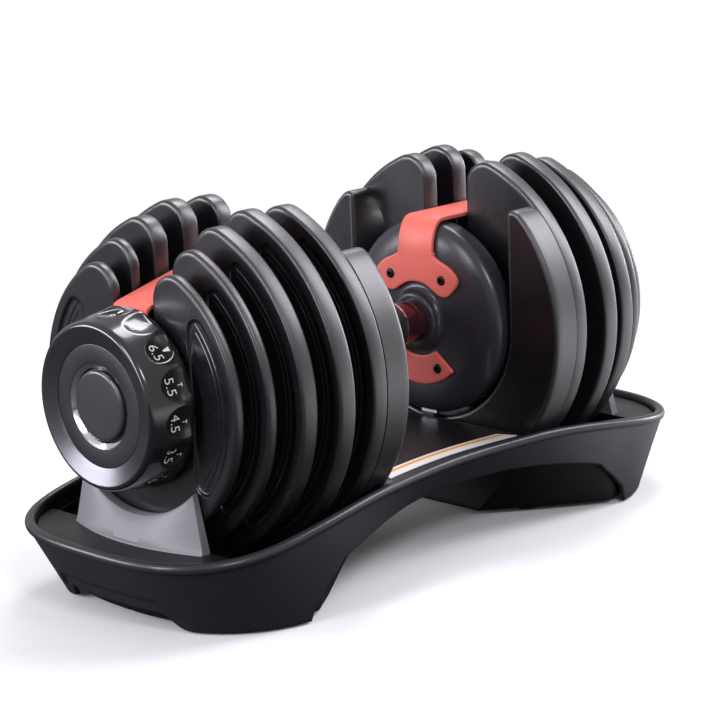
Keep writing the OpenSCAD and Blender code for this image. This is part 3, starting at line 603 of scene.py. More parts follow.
def lobe_outline(radius, web, s):
    """The part of a plate below its shoulders, open in the middle; web draws the inner side in."""
    gap, shoulder = s.opening, s.shoulder
    low = shoulder - 4.5    # where the rounding of the inner corner ends
    outer = sqrt(radius ** 2 - shoulder ** 2)
    half = arc(0, 0, radius, -90, degrees(asin(shoulder / radius)) - 4.5, 70)
    half += corner(half[-1], (outer, shoulder), (outer - 3.2, shoulder), 8)[1:]
    half += corner((gap + 3.6, shoulder), (gap, shoulder), (gap, low), 8)
    for i in range(1, 21):
        z = low * (1 - i / 20)
        half.append((gap - web * ease(1 - abs(z - 46) / 26), z))
    return both_sides(half + arc(0, 0, gap, 0, -90, 40)[1:])


class DUMBBELL_OT_plates(bpy.types.Operator):
    """Builds the ten slotted weight plates"""
    bl_idname = "dumbbell.plates"
    bl_label = "Weight plates"

    def execute(self, context):
        s = context.scene.dumbbell_plates
        for side in SIDES:
            for i in range(1, 6):
                low, high = node_mm(f"right_plate_{i}")
                radius = high[1]
                first = i == 1
                thick = 11.0 if first else high[0] - low[0] - LUG
                back = high[0] - thick
                solid = Solid()
                add_plate(solid, back, thick, radius, s)
                if first:
                    deep = back - low[0] + 0.6
                    steps = [(2.6, 0), (2.0, 0), (1.2, 0.25), (0.55, 0.8), (0.15, 1.7), (0, 2.8), (0, 6), (0, 10),
                             (0, 13.5), (0, deep)]
                    solid.loft([across(lobe_outline(radius, s.web * (x / deep) ** 1.6, s), [(d, x)], low[0])[0]
                                for d, x in steps], [1] * 9)
                solid.block((back - LUG if first else low[0], -4, H - 33.2), (back + 0.5, 4, H - 25.2))
                piece(f"{side}_weight_plate_{i}", solid, f"{side}_weight_{i}", "plate_iron",
                      ["plate_satin_coat", "plate_cast_rim", "plate_groove_gloss"], [f"{side}_plate_{i}"], side)
        return {"FINISHED"}


# ---------------------------------------------------------------- handle

BORE_R = 11.0                            # bore of the grip, its rings and the collars
COVER_FACE, BELL_DEPTH = 52.5, 8.5       # where a cover's flat face is, and how deep its bell is
STRAP, STRAP_HALF = 2.5, 13.5            # how thick and half how wide a bracket's strap is
SCREW_SPOTS = ((20.5, 26.0), (-20.5, 26.0), (15.3, -28.3), (-15.3, -28.3))
SCREW_HOLE_R = 2.05


def ring_pair(name, slot, label, node, steps, profile):
    """The same turned ring on both sides of the middle."""
    solid = Solid()
    for sign in (-1, 1):
        solid.lathe([(sign * x, r) for x, r in profile], steps)
    piece(name, solid, "handle", slot, [label], [node])


class DUMBBELL_OT_grip(bpy.types.Operator):
    """Builds the grip sleeve with its bright rings and the collars beside it"""
    bl_idname = "dumbbell.grip"
    bl_label = "Grip"

    def execute(self, context):
        half, fat, _ = node_mm("grip_sleeve")[1]
        end_r = 14.0
        ending = [(half - 0.9, end_r), (half - 0.3, end_r - 0.25), (half, end_r - 0.8), (half, BORE_R)]
        profile = flipped(ending)
        for i in range(1, 32):
            u = i / 16 - 1
            profile.append((half * 0.965 * u, end_r + (fat - end_r) * (1 - u * u)))
        sleeve = Solid()
        sleeve.lathe(profile + ending)
        piece("grip_rubber_sleeve", sleeve, "handle", "grip_rubber", ["grip_black_rubber"], ["grip_sleeve"])
        end, r, _ = node_mm("grip_rings")[1]
        ring_pair("grip_bright_rings", "ring_chrome", "bright_chrome", "grip_rings", 128,
                  [(27.0, BORE_R), (27.0, r - 0.4), (27.3, r), (end - 0.5, r), (end, r - 0.5), (end, BORE_R)])
        end, r, _ = node_mm("tube_collars")[1]
        ring_pair("grip_side_collars", "collar_red", "collar_burgundy", "tube_collars", 112,
                  [(28.6, BORE_R), (28.6, r), (end - 6, r), (end - 5.6, r - 0.5), (end - 5.0, r - 0.5), (end - 4.6, r),
                   (end, r), (end, BORE_R)])
        dress("turned_steel", "handle_tube")
        dress("bush_bronze", "shaft_bushes")
        return {"FINISHED"}


def bell(x, r0, r1, i):
    """A point of a cover's bell; i runs from 0 at its flat face to 24 at its rim."""
    a = radians(90 * i / 24)
    return x + BELL_DEPTH * (1 - cos(a)), r0 + (r1 - r0) * sin(a)


class DUMBBELL_OT_covers(bpy.types.Operator):
    """Builds the bell-shaped inner covers"""
    bl_idname = "dumbbell.covers"
    bl_label = "Inner covers"

    def execute(self, context):
        (neck, _, _), (back, r, _) = node_mm("right_cover")
        face, wall = COVER_FACE, 3
        profile = [(neck + 0.4, 11.05), (neck, 11.6), (neck, 15.6), (neck + 0.25, 16.3), (neck + 0.9, 16.8),
                   (neck + 1.8, 17.0)]
        profile += [(face - 4 + 4 * sin(a), 17 + 4.2 * (1 - cos(a))) for a in map(radians, range(0, 91, 9))]
        profile += [(face, 24), (face, 30), (face, 36)] + [bell(face, 40, r, i) for i in range(1, 25)]
        profile += [(back - 0.6, r), (back - 0.2, r - 0.2), (back, r - 0.7), (back, r - 2.4), (back - 0.5, r - wall)]
        profile += [bell(face + wall, 37, r - wall, i) for i in range(24, -1, -2)]
        solid, cutter = Solid(), Solid()
        solid.lathe(profile + [(face + wall, 20), (face + wall, 11.05)], 144)
        foot = node_mm("right_lock_slide")
        cutter.block((foot[0][0] - 0.4, -6.4, H - r - 4), (foot[1][0] + 0.4, 6.4, H - r + 9), edge=0.05)
        for side in SIDES:
            obj = piece(f"{side}_inner_cover", solid, "handle", "cover_plastic", ["cover_satin_grey"], [f"{side}_cover"],
                        side, sharp=40)
            carve(obj, cutter, side)
        return {"FINISHED"}


def carve(obj, cutter, side):
    """Cuts a solid out of a finished piece."""
    tool = new_object("cutter", solid_mesh("cutter", cutter, side))
    clean(tool.data, 0.001)
    cut = obj.modifiers.new("cut", "BOOLEAN")
    cut.operation, cut.solver, cut.object = "DIFFERENCE", "EXACT", tool
    made = plain_mesh(obj)
    obj.modifiers.remove(cut)
    old, obj.data = obj.data, made
    made.set_sharp_from_angle(angle=radians(40))
    bpy.data.meshes.remove(old)
    discard(tool)


def strap_rings(path, half, thick, edge=0.7):
    """Cross-sections of a bent strap along a path of (x, z), with rounded long edges."""
    soft = edge * 0.3
    section = [(half - edge, 0), (half - soft, -soft), (half, -edge), (half, -thick + edge),
               (half - soft, -thick + soft), (half - edge, -thick)]
    section = [(edge - half, 0), *section, *flipped(section)[:-1]]
    rings = []
    for i, (x, z) in enumerate(path):
        a, b = path[max(i - 1, 0)], path[min(i + 1, len(path) - 1)]
        tx, tz = b[0] - a[0], b[1] - a[1]
        size = hypot(tx, tz)
        nx, nz = -tz / size, tx / size
        rings.append([(x + nx * out, y, H + z + nz * out) for y, out in section])
    return rings


def bend(path, radius, steps=7):
    """Rounds the inner corners of an open path."""
    out = [path[0]]
    for a, p, b in zip(path, path[1:], path[2:]):
        ways = [(q[0] - p[0], q[1] - p[1]) for q in (a, b)]
        sizes = [hypot(*way) for way in ways]
        cut = min(radius, sizes[0] * 0.45, sizes[1] * 0.45)
        start, end = [(p[0] + w[0] / size * cut, p[1] + w[1] / size * cut) for w, size in zip(ways, sizes)]
        out += corner(start, p, end, steps)
    return out + [path[-1]]


def screw_holes(spots):
    return [arc(y, z, SCREW_HOLE_R, 0, 360, 20)[:-1] for y, z in spots]


def bracket_solid(face, leg):
    """The strap over the cover's bell, its leg with the shaft's hole, and the upper flange."""
    solid, half = Solid(), STRAP_HALF
    path = [(face - 0.04, 38), (face - 0.04, 40)]
    for a in map(radians, range(10, 91, 10)):
        dx, dz = BELL_DEPTH * sin(a), 19 * cos(a)
        size = hypot(dx, dz)
        path.append((COVER_FACE + BELL_DEPTH * (1 - cos(a)) - 2.8 * dz / size,
                     40 + 19 * sin(a) + 2.8 * dx / size))
    rise = path[-1][1]
    path += bend([(68, rise), (122, rise), (leg, 49.5), (leg, 30)], 5.0)
    solid.loft(strap_rings(path, half, STRAP + 0.04))
    blade = [(half, 40), (-half, 40), (-half, 10), (-half, 0)] + arc(0, 0, half, 180, 360, 24)[1:-1]
    solid.slab(blade + [(half, 0), (half, 10)], leg - STRAP + 0.03, leg - 0.03, 0.4,
               [arc(0, 0, 8.3, 0, 360, 48)[:-1]])
    wing = [(0, 23.2), (7, 22.2), (13, 19.2), (17.5, 16.6), (21, 15.9), (25, 16.7), (29, 20.2), (32, 24),
            (32.4, 27.5), (30, 31), (25.5, 34.4), (19, 37.2), (14.6, 39.6), (13.2, 42)]
    flange = smooth_loop(wing + [(0, 42.5)] + flipped(wing[1:]), 5)
    solid.slab(flange, face + 0.02, face + STRAP, holes=screw_holes(SCREW_SPOTS[:2]))
    return solid


def flange_solid(face):
    """A crescent below the tube, with rounded corners."""
    outer = arc(0, 0, 39.6, -90 - 43, -90 + 43, 40)
    inner = arc(0, 0, 22.2, -90 + 36, -90 - 36, 30)
    o0, o1, i0, i1 = outer[0], outer[-1], inner[0], inner[-1]
    line = outer[:-1] + corner(outer[-2], o1, between(o1, i0, 0.12)) + corner(between(i0, o1, 0.1), i0, inner[1])
    line += inner[2:-2] + corner(inner[-2], i1, between(i1, o0, 0.1)) + corner(between(o0, i1, 0.12), o0, outer[1])
    solid = Solid()
    solid.slab(line[1:-1], face, face + STRAP, holes=screw_holes(SCREW_SPOTS[2:]))
    return solid


def add_screws(r, face):
    """Button-head socket screws, copied to their spots by the node tree."""
    steps = 24
    hexed = []
    for i in range(steps):
        a = TURN * i / steps
        k = 1.5 * (cos(pi / 6) / cos((a % (pi / 3)) - pi / 6))
        hexed.append((k * cos(a), k * sin(a)))
    head = ((2.0, -5.4), (2.0, 0.05), (r, 0.05), (r, 0.3), (r * 0.93, 0.7), (r * 0.78, 1.0), (r * 0.62, 1.1))
    rings = [circle(*ring, steps) for ring in head] + [[(x, y, z) for x, y in hexed] for z in (1.1, -0.9)]
    spots = [((sign * face, sign * y, H + z), (0, -sign * pi / 2, 0)) for sign in (-1, 1) for y, z in SCREW_SPOTS]
    grow_copies("flange_socket_screws", rings, spots, "screw_black_oxide", "handle", "screw_black", "flange_screws")


class DUMBBELL_OT_brackets(bpy.types.Operator):
    """Builds the coral brackets, their lower flanges and the flange screws"""
    bl_idname = "dumbbell.brackets"
    bl_label = "Brackets"

    def execute(self, context):
        (face, _, _), (leg, _, _) = node_mm("right_bracket")
        shapes = {"bracket": bracket_solid(face, leg), "lower_flange": flange_solid(face)}
        for side in SIDES:
            for name, solid in shapes.items():
                piece(f"{side}_coral_{name}", solid, "handle", "bracket_red", ["bracket_coral_coat"], [f"{side}_{name}"],
                      side)
        add_screws(context.scene.dumbbell_handle.screw_head, face)
        return {"FINISHED"}


# ---------------------------------------------------------------- selectors and locks

class DUMBBELL_OT_selectors(bpy.types.Operator):
    """Gives the shafts, wheels, discs, locks and springs their shapes and finishes"""
    bl_idname = "dumbbell.selectors"
    bl_label = "Selectors and locks"

    def execute(self, context):
        wire = 0.4
        for side in SIDES:
            dress("turned_steel", *[f"{side}_{part}" for part in ("shaft", "lock_wheel", "lock_slide", "dial_screw")])
            dress("blackened_steel", *[f"{side}_disc_{i}" for i in range(1, 6)])
            low, high = node_mm(f"{side}_lock_spring")
            grow(f"{side}_lock_coil", coil_tree(), {
                "Coil Radius": 2.0 * MM, "Wire Radius": wire * MM, "Height": (high[2] - low[2] - 2 * wire) * MM,
                "Turns": 6.0, "Foot": [(low[0] + high[0]) / 2 * MM, 0.0, (low[2] + wire) * MM],
                "Finish": finish("turned_steel")}, "handle", "spring_steel", f"{side}_lock_spring")
        return {"FINISHED"}


# ---------------------------------------------------------------- dials

KILOGRAMS = ("2.5", "3.5", "4.5", "5.5", "6.5", "8", "9", "10", "11.5", "13.5", "16", "18", "20.5", "22.5", "24")
ARROWED = (4, 6)                # the two numbers with an arrow and an arched line; the arched line is partly print and partly a painted highlight on one edge of the scallop
REST_POSITION, PITCH = 6, 24    # number at the top, and degrees from number to number
PRINT_X, PRINT_R = 11.25, 48.0  # middle of the band, from its back edge and from the axis


def cone_radius(x):
    """Radius of the plain number band at x from its back edge."""
    return 50.0 - 4.0 * min(max(x / 23.3, 0), 1)


def band_radius(x, degrees, s):
    """Radius of the scalloped number band at x from its back edge, in one direction."""
    ball = s.scallop_round
    centre = PRINT_R + ball - s.scallop
    c = centre * cos(radians((degrees - 90 + PITCH / 2) % PITCH - PITCH / 2))
    inside = c * c - (centre ** 2 + (x - PRINT_X) ** 2 - ball ** 2)
    return min(cone_radius(x), c - sqrt(inside)) if inside > 0 else cone_radius(x)


def letter_mesh(label, size):
    """Flat faces of a number, cut every 0.9 mm so that they can bend."""
    curve = bpy.data.curves.new("digits", "FONT")
    curve.body = label
    curve.size = size
    curve.align_x, curve.align_y = "CENTER", "CENTER"
    curve.resolution_u = 3
    curve.offset = -0.06
    obj = new_object("digits", curve)
    mesh = plain_mesh(obj)
    bm = bmesh.new()
    bm.from_mesh(mesh)
    for axis, span in ((0, 14), (1, 8)):
        reach = int(span / 2 / 0.9)
        for i in range(-reach, reach + 1):
            co, no = [0, 0, 0], [0, 0, 0]
            co[axis], no[axis] = i * 0.9, 1
            bmesh.ops.bisect_plane(bm, geom=bm.verts[:] + bm.edges[:] + bm.faces[:], plane_co=co, plane_no=no)
    bm.verts.index_update()
    flat = [(v.co.x, v.co.y) for v in bm.verts]
    faces = [tuple(v.index for v in f.verts) for f in bm.faces]
    bm.free()
    bpy.data.objects.remove(obj)
    bpy.data.curves.remove(curve)
    bpy.data.meshes.remove(mesh)
    return flat, faces


def dial_body(back, f, s):
    """The number band with its scallops, the dished front and the hollow back."""
    solid = Solid()
    rows = [(0.0, 0.7), (0.3, 0.2), (0.9, 0), (2.0, 0)] + [(2.0 + 18.6 * i / 26, 0) for i in range(1, 27)]
    rings = []
    for x, inwards in rows:
        ring = []
        for a in range(360):
            r = band_radius(x, a, s) - inwards
            ring.append((back + x, r * cos(radians(a)), H + r * sin(radians(a))))
        rings.append(ring)
    solid.loft(rings, caps=(False, False))
    front = [(20.6, cone_radius(20.6)), (22.0, 46.22), (23.3, 45.98), (24.3, 45.75), (25.1, 45.35), (25.7, 44.85),
             (26.2, 44.2), (f - 0.06, 43.6), (f, 43.1)]
    dish = [(f, 43.1), (f - 0.12, 42.6), (f - 0.4, 41.8), (f - 1.0, 39.9), (f - 1.7, 37.6), (f - 2.4, 35.4),
            (f - 2.8, 34.2), (f - 3.0, 33.7)]
    hollow = [(f - 3.0, 33.7), (f - 5, 33.7), (f - 5, 23.0), (f - 6.5, 23.0), (f - 6.5, 8.2), (0.4, 8.2), (0.4, 12.6),
              (f - 11, 12.6), (f - 11, 43.0), (0, 43.0), (0, 49.3)]
    for profile, index in ((front, 0), (dish, 1), (hollow, 0)):
        solid.lathe([(back + x, r) for x, r in profile], 360, index, closed=False)
    return solid


def dial_ring(b):
    solid = Solid()
    solid.lathe([(b, 20.4), (b, 33.4), (b + 1.8, 33.4), (b + 1.95, 33.25), (b + 2.0, 33.0), (b + 2.0, 23.7),
                 (b + 1.94, 23.4), (b + 1.75, 23.0), (b + 0.25, 20.5)], 192, [0] * 7 + [1] * 2)
    return solid


def dial_cap(front):
    solid = Solid()
    top = front - 2.6
    dome = [(top, 0)] + [(top - 0.3 * (u / 12) ** 2, 17.4 * u / 12) for u in range(1, 13)]
    dome += [(top - 0.4, 18.1), (top - 0.65, 18.7), (top - 1.05, 19.1), (top - 1.6, 19.2), (front - 6.5, 19.2),
             (front - 6.5, 17.2), (front - 4.6, 17.2), (front - 4.6, 0)]
    solid.lathe(dome, 160, closed=False)
    return solid


def dial_print_and_painted_highlights(back, s):
    """Numbers, ticks and arrows as thin printed shapes that follow the band, with arched lines in the same white that
    are partly print and partly a painted highlight on a scallop's edge.
    """
    solid = Solid()

    def wrap(flat, faces, k):
        base = radians(90 - (REST_POSITION - k) * PITCH)
        for lift in (0.05, -0.05):
            ring = []
            for u, v in flat:
                x, a = PRINT_X - v, base - u / PRINT_R
                r = band_radius(x, degrees(a), s) + lift
                ring.append((back + x, r * cos(a), H + r * sin(a)))
            order = solid.ring(ring)
            for f in faces:
                solid.face(order[i] for i in (f if lift > 0 else reversed(f)))

    quad = [(0, 1, 2, 3)]
    for k, label in enumerate(KILOGRAMS):
        wrap(*letter_mesh(label, s.digit), k)
        if k in ARROWED:
            wrap([(-0.4, 4.8), (0.4, 4.8), (1.4, 8.6), (-1.4, 8.6)], quad, k)
            # The arched line is partly print and partly a painted highlight of the scallop's edge, tapered like a
            # highlight
            line = [(7.2 * sin(a), 1.3 + 9.2 * cos(a))
                    for a in (radians(18 + 110 * i / 14) for i in range(15))]
            edge = [(u * (1 - 0.09 * sin(pi * i / 14) ** 0.6), v * 0.985) for i, (u, v) in enumerate(line)]
            # For this number the painted highlight sits on the scallop's other edge, where the light catches it
            if k == ARROWED[1]:
                line, edge = [(-u, v) for u, v in edge], [(-u, v) for u, v in line]
            wrap(line + edge, [(15 + i, 15 + i + 1, i + 1, i) for i in range(14)], k)
        else:
            wrap([(-0.2, 5.0), (0.2, 5.0), (0.2, 7.6), (-0.2, 7.6)], quad, k)
            wrap([(-1.1, 7.2), (1.1, 7.2), (0.8, 7.8), (-0.8, 7.8)], quad, k)
    return solid


class DUMBBELL_OT_dials(bpy.types.Operator):
    """Builds the two dials with their number bands, face rings and caps"""
    bl_idname = "dumbbell.dials"
    bl_label = "Dials"

    def execute(self, context):
        s = context.scene.dumbbell_dials
        low, high = node_mm("right_dial")
        back = low[0]
        f = high[0] - back
        made = (("body", dial_body(back, f, s), "dial_plastic", ["dial_gloss_black", "dial_satin_grey"], ["dial"], 30),
                ("face_ring", dial_ring(back + f - 5), "dial_ring_grey", ["dial_satin_grey", "bright_chrome"],
                 ["dial_ring"], 32),
                ("centre_cap", dial_cap(back + f), "dial_cap_black", ["cap_satin_black"], ["dial_cap"], 32),
                # the print piece also holds the arched lines, which are partly a painted highlight
                ("print", dial_print_and_painted_highlights(back, s), "strip_label", ["print_white_ink"], [], 60, 0.0005))
        for side in SIDES:
            for name, solid, slot, labels, nodes, *smooth in made:
                nodes = [f"{side}_{node}" for node in nodes]
                piece(f"{side}_dial_{name}", solid, f"{side}_selector", slot, labels, nodes, side, *smooth)
        return {"FINISHED"}


# ---------------------------------------------------------------- tray

RIM = dict(waist=80.45, wide=92.45, shoulder=125.0, end=214.0, power=2.9)
BASE = dict(waist=46.0, wide=91.0, shoulder=112.0, end=194.0, power=2.4)
WELL_FLOOR = dict(waist=36, wide=85, shoulder=124, end=187, power=2.4)
RIM_W, BEAD_H, BEAD_STEP, TRAY_WALL, LIP_GAP, WELL_DROP = 5.0, 5.2, 1.0, 2.6, 0.8, 10.0
RIM_MID, RIM_END, RIM_LEVEL = 60.0, 45.0, 60.0
PANEL_BASE = RIM_END - 4
OUTLINE_POINTS = 352
LEG_X, END_ARCH_X = 134, 142    # how far out the side arch ends and the end arch starts
LEG_EDGE = ((0, 1), (40, 1), (60, 0.96), (78, 0.89), (93, 0.81), (103, 0.73), (110, 0.58), (118, 0.49),
            (124, 0.39), (128, 0.24), (131, 0.1), (134, 0))


def narrowed(shape, d):
    """The outline's measures with all but the shoulder drawn in by d."""
    return {name: value - d if name in ("waist", "wide", "end") else value for name, value in shape.items()}


def half_width(x, waist, wide, shoulder, end, power):
    x = abs(x)
    if x < shoulder:
        return mix(waist, wide, ease(x / shoulder))
    return wide * max(0, 1 - ((x - shoulder) / (end - shoulder)) ** power) ** (1 / power)


def deck_edge(x, gap):
    """Half the tray's width inside its rim at x, less a gap."""
    return half_width(x, **RIM) - RIM_W - gap


def outline(shape, d):
    """The tray's outline drawn in by d, with points closer together round its ends."""
    shape, line = narrowed(shape, d), []
    shoulder, end = shape["shoulder"], shape["end"]
    for k in range(OUTLINE_POINTS):
        a = TURN * k / OUTLINE_POINTS
        c, s = cos(a), sin(a)
        x = shoulder * c / 0.72
        if abs(c) > 0.72:
            x = copysign(mix(shoulder, end, sqrt(max(0, 1 - min(1, abs(s) / 0.694) ** 2))), c)
        w = half_width(x, **shape)
        line.append((x, -w if s < 0 else w))
    return line


def rim_z(x):
    return mix(RIM_MID, RIM_END, ease((abs(x) - RIM_LEVEL) / (RIM["end"] - RIM_LEVEL)))


def skirt_low(x, y):
    """Height of the skirt's lower edge, with its side and end arches."""
    x = abs(x)
    for (x0, s0), (x1, s1) in zip(LEG_EDGE, LEG_EDGE[1:]):
        if x <= x1 and x < LEG_X:
            return 1 + 39 * mix(s0, s1, (x - x0) / (x1 - x0))
    return 1 + 10 * ease((46 - abs(y)) / 13) if x > END_ARCH_X else 1.0


def tray_piece(name, solid, labels, node, slot="deck_plastic", side="right", sharp=35):
    piece(name, solid, "tray", slot, labels, [node], side, sharp)


def tray_shell(t):
    lows = [skirt_low(*p) for p in outline(BASE, 0)]

    def wall(share, step_in, lift=0.0):
        """A ring of the skirt, from its lower edge at share 0 to the bead at share 1."""
        ring = []
        for b, r, low in zip(outline(BASE, step_in), outline(RIM, step_in + BEAD_STEP), lows):
            top = rim_z(r[0]) - BEAD_H
            z = mix(low, top, share) + lift
            x, y = between(b, r, z / top)
            above = z - low
            if abs(x) > END_ARCH_X and above < 12:
                x -= copysign(t.brow * ease((52 - abs(y)) / 8) * ease((9.5 - above) / 2.2), x)
            ring.append((x, y, z))
        return ring

    def lip(step_in, drop):
        return [(x, y, rim_z(x) - drop) for x, y in outline(RIM, step_in)]

    shares = (0.05, 0.1, 0.15, 0.19, 0.22, 0.25, 0.28, 0.32, 0.38, 0.46, 0.55, 0.65, 0.76, 0.87, 0.95)
    lips = ((0.55, 5.3), (0.05, 5.0), (-0.35, 4.3), (-0.57, 3.4), (-0.6, 2.6), (-0.4, 1.6), (0.1, 0.85), (0.9, 0.3),
            (1.9, 0.02), (2.9, 0.05), (3.8, 0.4), (4.45, 1.05), (4.85, 1.9), (5.0, 2.8), (5.0, BEAD_H))
    rings = [wall(0, TRAY_WALL * 0.5), wall(0, 0.5), wall(0, 0.12, 0.5), wall(0, 0, 1.1)]
    rings += [wall(s, 0) for s in (*shares, 1)] + [lip(*p) for p in lips]
    rings += [wall(s, TRAY_WALL) for s in (1, *reversed(shares), 0)]
    solid = Solid()
    made = solid.loft(rings, caps=(False, False))
    solid.band(made[-1], made[0])
    tray_piece("tray_moulded_shell", solid, ["tray_satin_charcoal"], "tray_shell", "tray_plastic", sharp=40)


def tray_deck():
    low, high = node_mm("tray_deck")
    half, _, top = high
    nx, ny = 40, 60
    rows = []
    for i in range(nx + 1):
        x = -half + 2 * half * i / nx
        w = deck_edge(x, 0.4)
        fall = 1.8 * (1 - ease((half - abs(x)) / 3.2))
        row = []
        for v in (2 * j / ny - 1 for j in range(ny + 1)):
            y = copysign(abs(v) ** 0.85, v) * w
            row.append((x, y, top - 1.1 * ease((5.5 - (w - abs(y))) / 3.0) - fall))
        rows.append(row)
    solid = Solid()
    made = solid.loft(rows, closed=False, caps=(False, False))
    under = [solid.ring([(x, y, top - TRAY_WALL) for x, y, _ in row]) for row in rows]
    sides = [([r[j] for r in made], [r[j] for r in under]) for j in (0, -1)]
    for a, b in [*zip(under[1:], under), (made[0], under[0]), (under[-1], made[-1]), *sides]:
        solid.band(a, b, closed=False)
    for x0, x1 in ((-half, TRAY_WALL - half), (half - TRAY_WALL, half)):
        solid.block((x0, -74, low[2]), (x1, 74, top - 1.4), edge=0.4)
    tray_piece("tray_centre_deck", solid, ["tray_dark_deck"], "tray_deck")


def tray_well():
    """A closed bowl for the plates, from a flat floor up to just under the rim."""
    x0 = node_mm("right_well")[0][0]
    points, turn_at = 120, 0.6

    def line(inner, shape, straight=False):
        """A bowl's outline, open towards the middle; turn_at is where it leaves the round end."""
        out = []
        for u in (2 * k / points - 1 for k in range(points + 1)):
            v = abs(u)
            q = (v - turn_at) / 0.4
            if v < turn_at:
                x = mix(shape["shoulder"], shape["end"], sqrt(1 - (v / turn_at) ** 2))
            else:
                x = mix(shape["shoulder"], inner, q)
            w = half_width(x, **shape)
            if straight and v >= turn_at:
                w = mix(shape["wide"], shape["waist"], q) + 2 * sin(pi * q)
            out.append((x, -w if u < 0 else w))
        return out

    def share(x):
        return (rim_z(x) - WELL_DROP) / (rim_z(x) - BEAD_H)

    ratio = BASE["shoulder"] / RIM["shoulder"]

    def top_ring(g):
        step = TRAY_WALL + LIP_GAP + g
        inner = (x0 + g) / mix(ratio, 1, share(x0))
        rim, base = line(inner, narrowed(RIM, step + 1)), line(inner * ratio, narrowed(BASE, step))
        return [(*between(b, r, share(r[0])), rim_z(r[0]) - WELL_DROP) for r, b in zip(rim, base)]

    def low_ring(g, z=3.0):
        return [(x, y, z) for x, y in line(x0 + 0.6 + g, narrowed(WELL_FLOOR, g), True)]

    def middle(g, t):
        return [between(p, q, t) for p, q in zip(low_ring(g), top_ring(g))]

    rings = [low_ring(3), low_ring(1), middle(0.2, 0.03)] + [middle(0, s) for s in (0.08, 0.3, 0.6, 0.85)]
    rings += [top_ring(0), top_ring(0.5), top_ring(TRAY_WALL)]
    rings += [middle(TRAY_WALL, s) for s in (0.85, 0.6, 0.3, 0.12)]
    rings += [low_ring(TRAY_WALL + g, 3.0 + TRAY_WALL) for g in (1.4, 4)]
    solid = Solid()
    solid.loft(rings)
    return solid


def tray_panel():
    """A fan-shaped panel that follows the dial, on a flat shelf."""
    x0 = node_mm("right_end_panel")[0][0]
    rings = []
    for u in (2 * i / 56 - 1 for i in range(57)):
        a = radians(44 * u)
        ty, tz = 64 * sin(a), H - 64 * cos(a)
        by, bz = 52 * u, PANEL_BASE
        tx, bx = x0 + 3.5 + 4 * (1 - u * u), x0 + 5.5 + 10 * (1 - u * u)
        top = [(x0, ty, tz - 1.0), (x0 + 0.3, ty, tz - 0.3), (x0 + 1.0, ty, tz), (tx - 1.6, ty, tz),
               (tx - 0.5, ty, tz - 0.25), (tx, ty, tz - 0.9)]
        front = [between((tx, ty, tz), (bx, by, bz), s) for s in (0.15, 0.4, 0.7, 0.9)]
        low = [(bx + 0.15, by, bz + 1.0), (bx + 0.9, by, bz + 0.1), (bx + 1.0, by, bz - 0.6), (x0, by, bz - 0.6)]
        rings.append(top + front + low)
    solid = Solid()
    solid.loft(rings)
    shelf = sorted((p for p in outline(RIM, RIM_W + LIP_GAP) if p[0] >= x0), key=lambda p: p[1])
    cut = shelf[-1][1]
    shelf = (x0, -cut), *shelf, (x0, cut)
    solid.loft([[(x, y, z) for x, y in shelf] for z in (PANEL_BASE - TRAY_WALL, PANEL_BASE)], 1)
    return solid


def tray_strip():
    (_, _, z), (half, _, _) = node_mm("deck_strip")
    solid = Solid()
    for near, far, x_near, x_far, z0, z1, index in ((7.0, 18.0, half, half - 5, z, z + 0.35, 0),
                                                    (13.0, 15.6, half - 4, half - 5.5, z + 0.3, z + 0.42, 1)):
        rings = []
        for q in (2 * i / 48 - 1 for i in range(49)):
            a = q * x_near, -deck_edge(q * x_near, near)
            b = q * x_far, -deck_edge(q * x_far, far)
            rings.append([(*a, z0), (*b, z0), (*b, z1), (*a, z1)])
        solid.loft(rings, index)
    tray_piece("deck_white_strip", solid, ["strip_white", "strip_amber"], "deck_strip", "strip_label")


def tray_feet():
    """Rubber feet, copied to their spots by the node tree."""
    profile = ((3.2, 0.7), (4.2, 0.7), (4.8, 0.0), (6.8, 0.0), (7.7, 0.4), (8.0, 1.2), (8.0, 3.0))
    spots = [((sx * x, sy * y, 0), (0, 0, 0)) for x, y in ((92, 46), (150, 52)) for sx in (-1, 1) for sy in (-1, 1)]
    grow_copies("tray_rubber_feet", [circle(*ring, 32) for ring in profile], spots, "foot_rubber", "tray",
                "foot_rubber", "tray_feet")


class DUMBBELL_OT_tray(bpy.types.Operator):
    """Builds the tray's shell, deck, wells, end panels, strip and feet"""
    bl_idname = "dumbbell.tray"
    bl_label = "Tray"

    def execute(self, context):
        tray_shell(context.scene.dumbbell_tray)
        tray_deck()
        wells, panels = tray_well(), tray_panel()
        for side in SIDES:
            tray_piece(f"{side}_plate_well", wells, ["tray_dark_deck"], f"{side}_well", side=side)
            tray_piece(f"{side}_fan_panel", panels, ["panel_grained_grey", "tray_dark_deck"], f"{side}_end_panel",
                       "panel_plastic", side)
        tray_strip()
        tray_feet()
        dress("tray_dark_deck", "left_rack", "right_rack", "unlock_pads")
        return {"FINISHED"}


# ---------------------------------------------------------------- stage

AMBIENT = 0.515     # how strongly the white world lights the pieces
FLOOR_Z = -0.0002   # a little lower than the feet
# Name, place, aim, size and power of each light
SOFTBOXES = (("front_softbox", (1.21, -0.75, 1.25), (0, 0, 0.12), (0.7, 1.0), 20),
             ("right_softbox", (1.9, -0.4, 0.4), (0, 0, 0.1), (0.6, 0.6), 14),
             ("key_softbox", (-0.75, -1.6, 1.5), (0, 0, 0.12), (0.5, 0.5), 14),
             ("top_softbox", (0.85, 0.45, 1.75), (0, 0, 0.1), (0.7, 0.9), 18),
             ("left_softbox", (-1.9, 0.15, 0.8), (-0.1, 0, 0.12), (0.4, 1.3), 20),
             ("back_softbox", (-1.55, 1.3, 0.5), (-0.1, 0, 0.12), (1.0, 0.7), 26))


def facing(way):
    return way.to_track_quat("-Z", "Y")


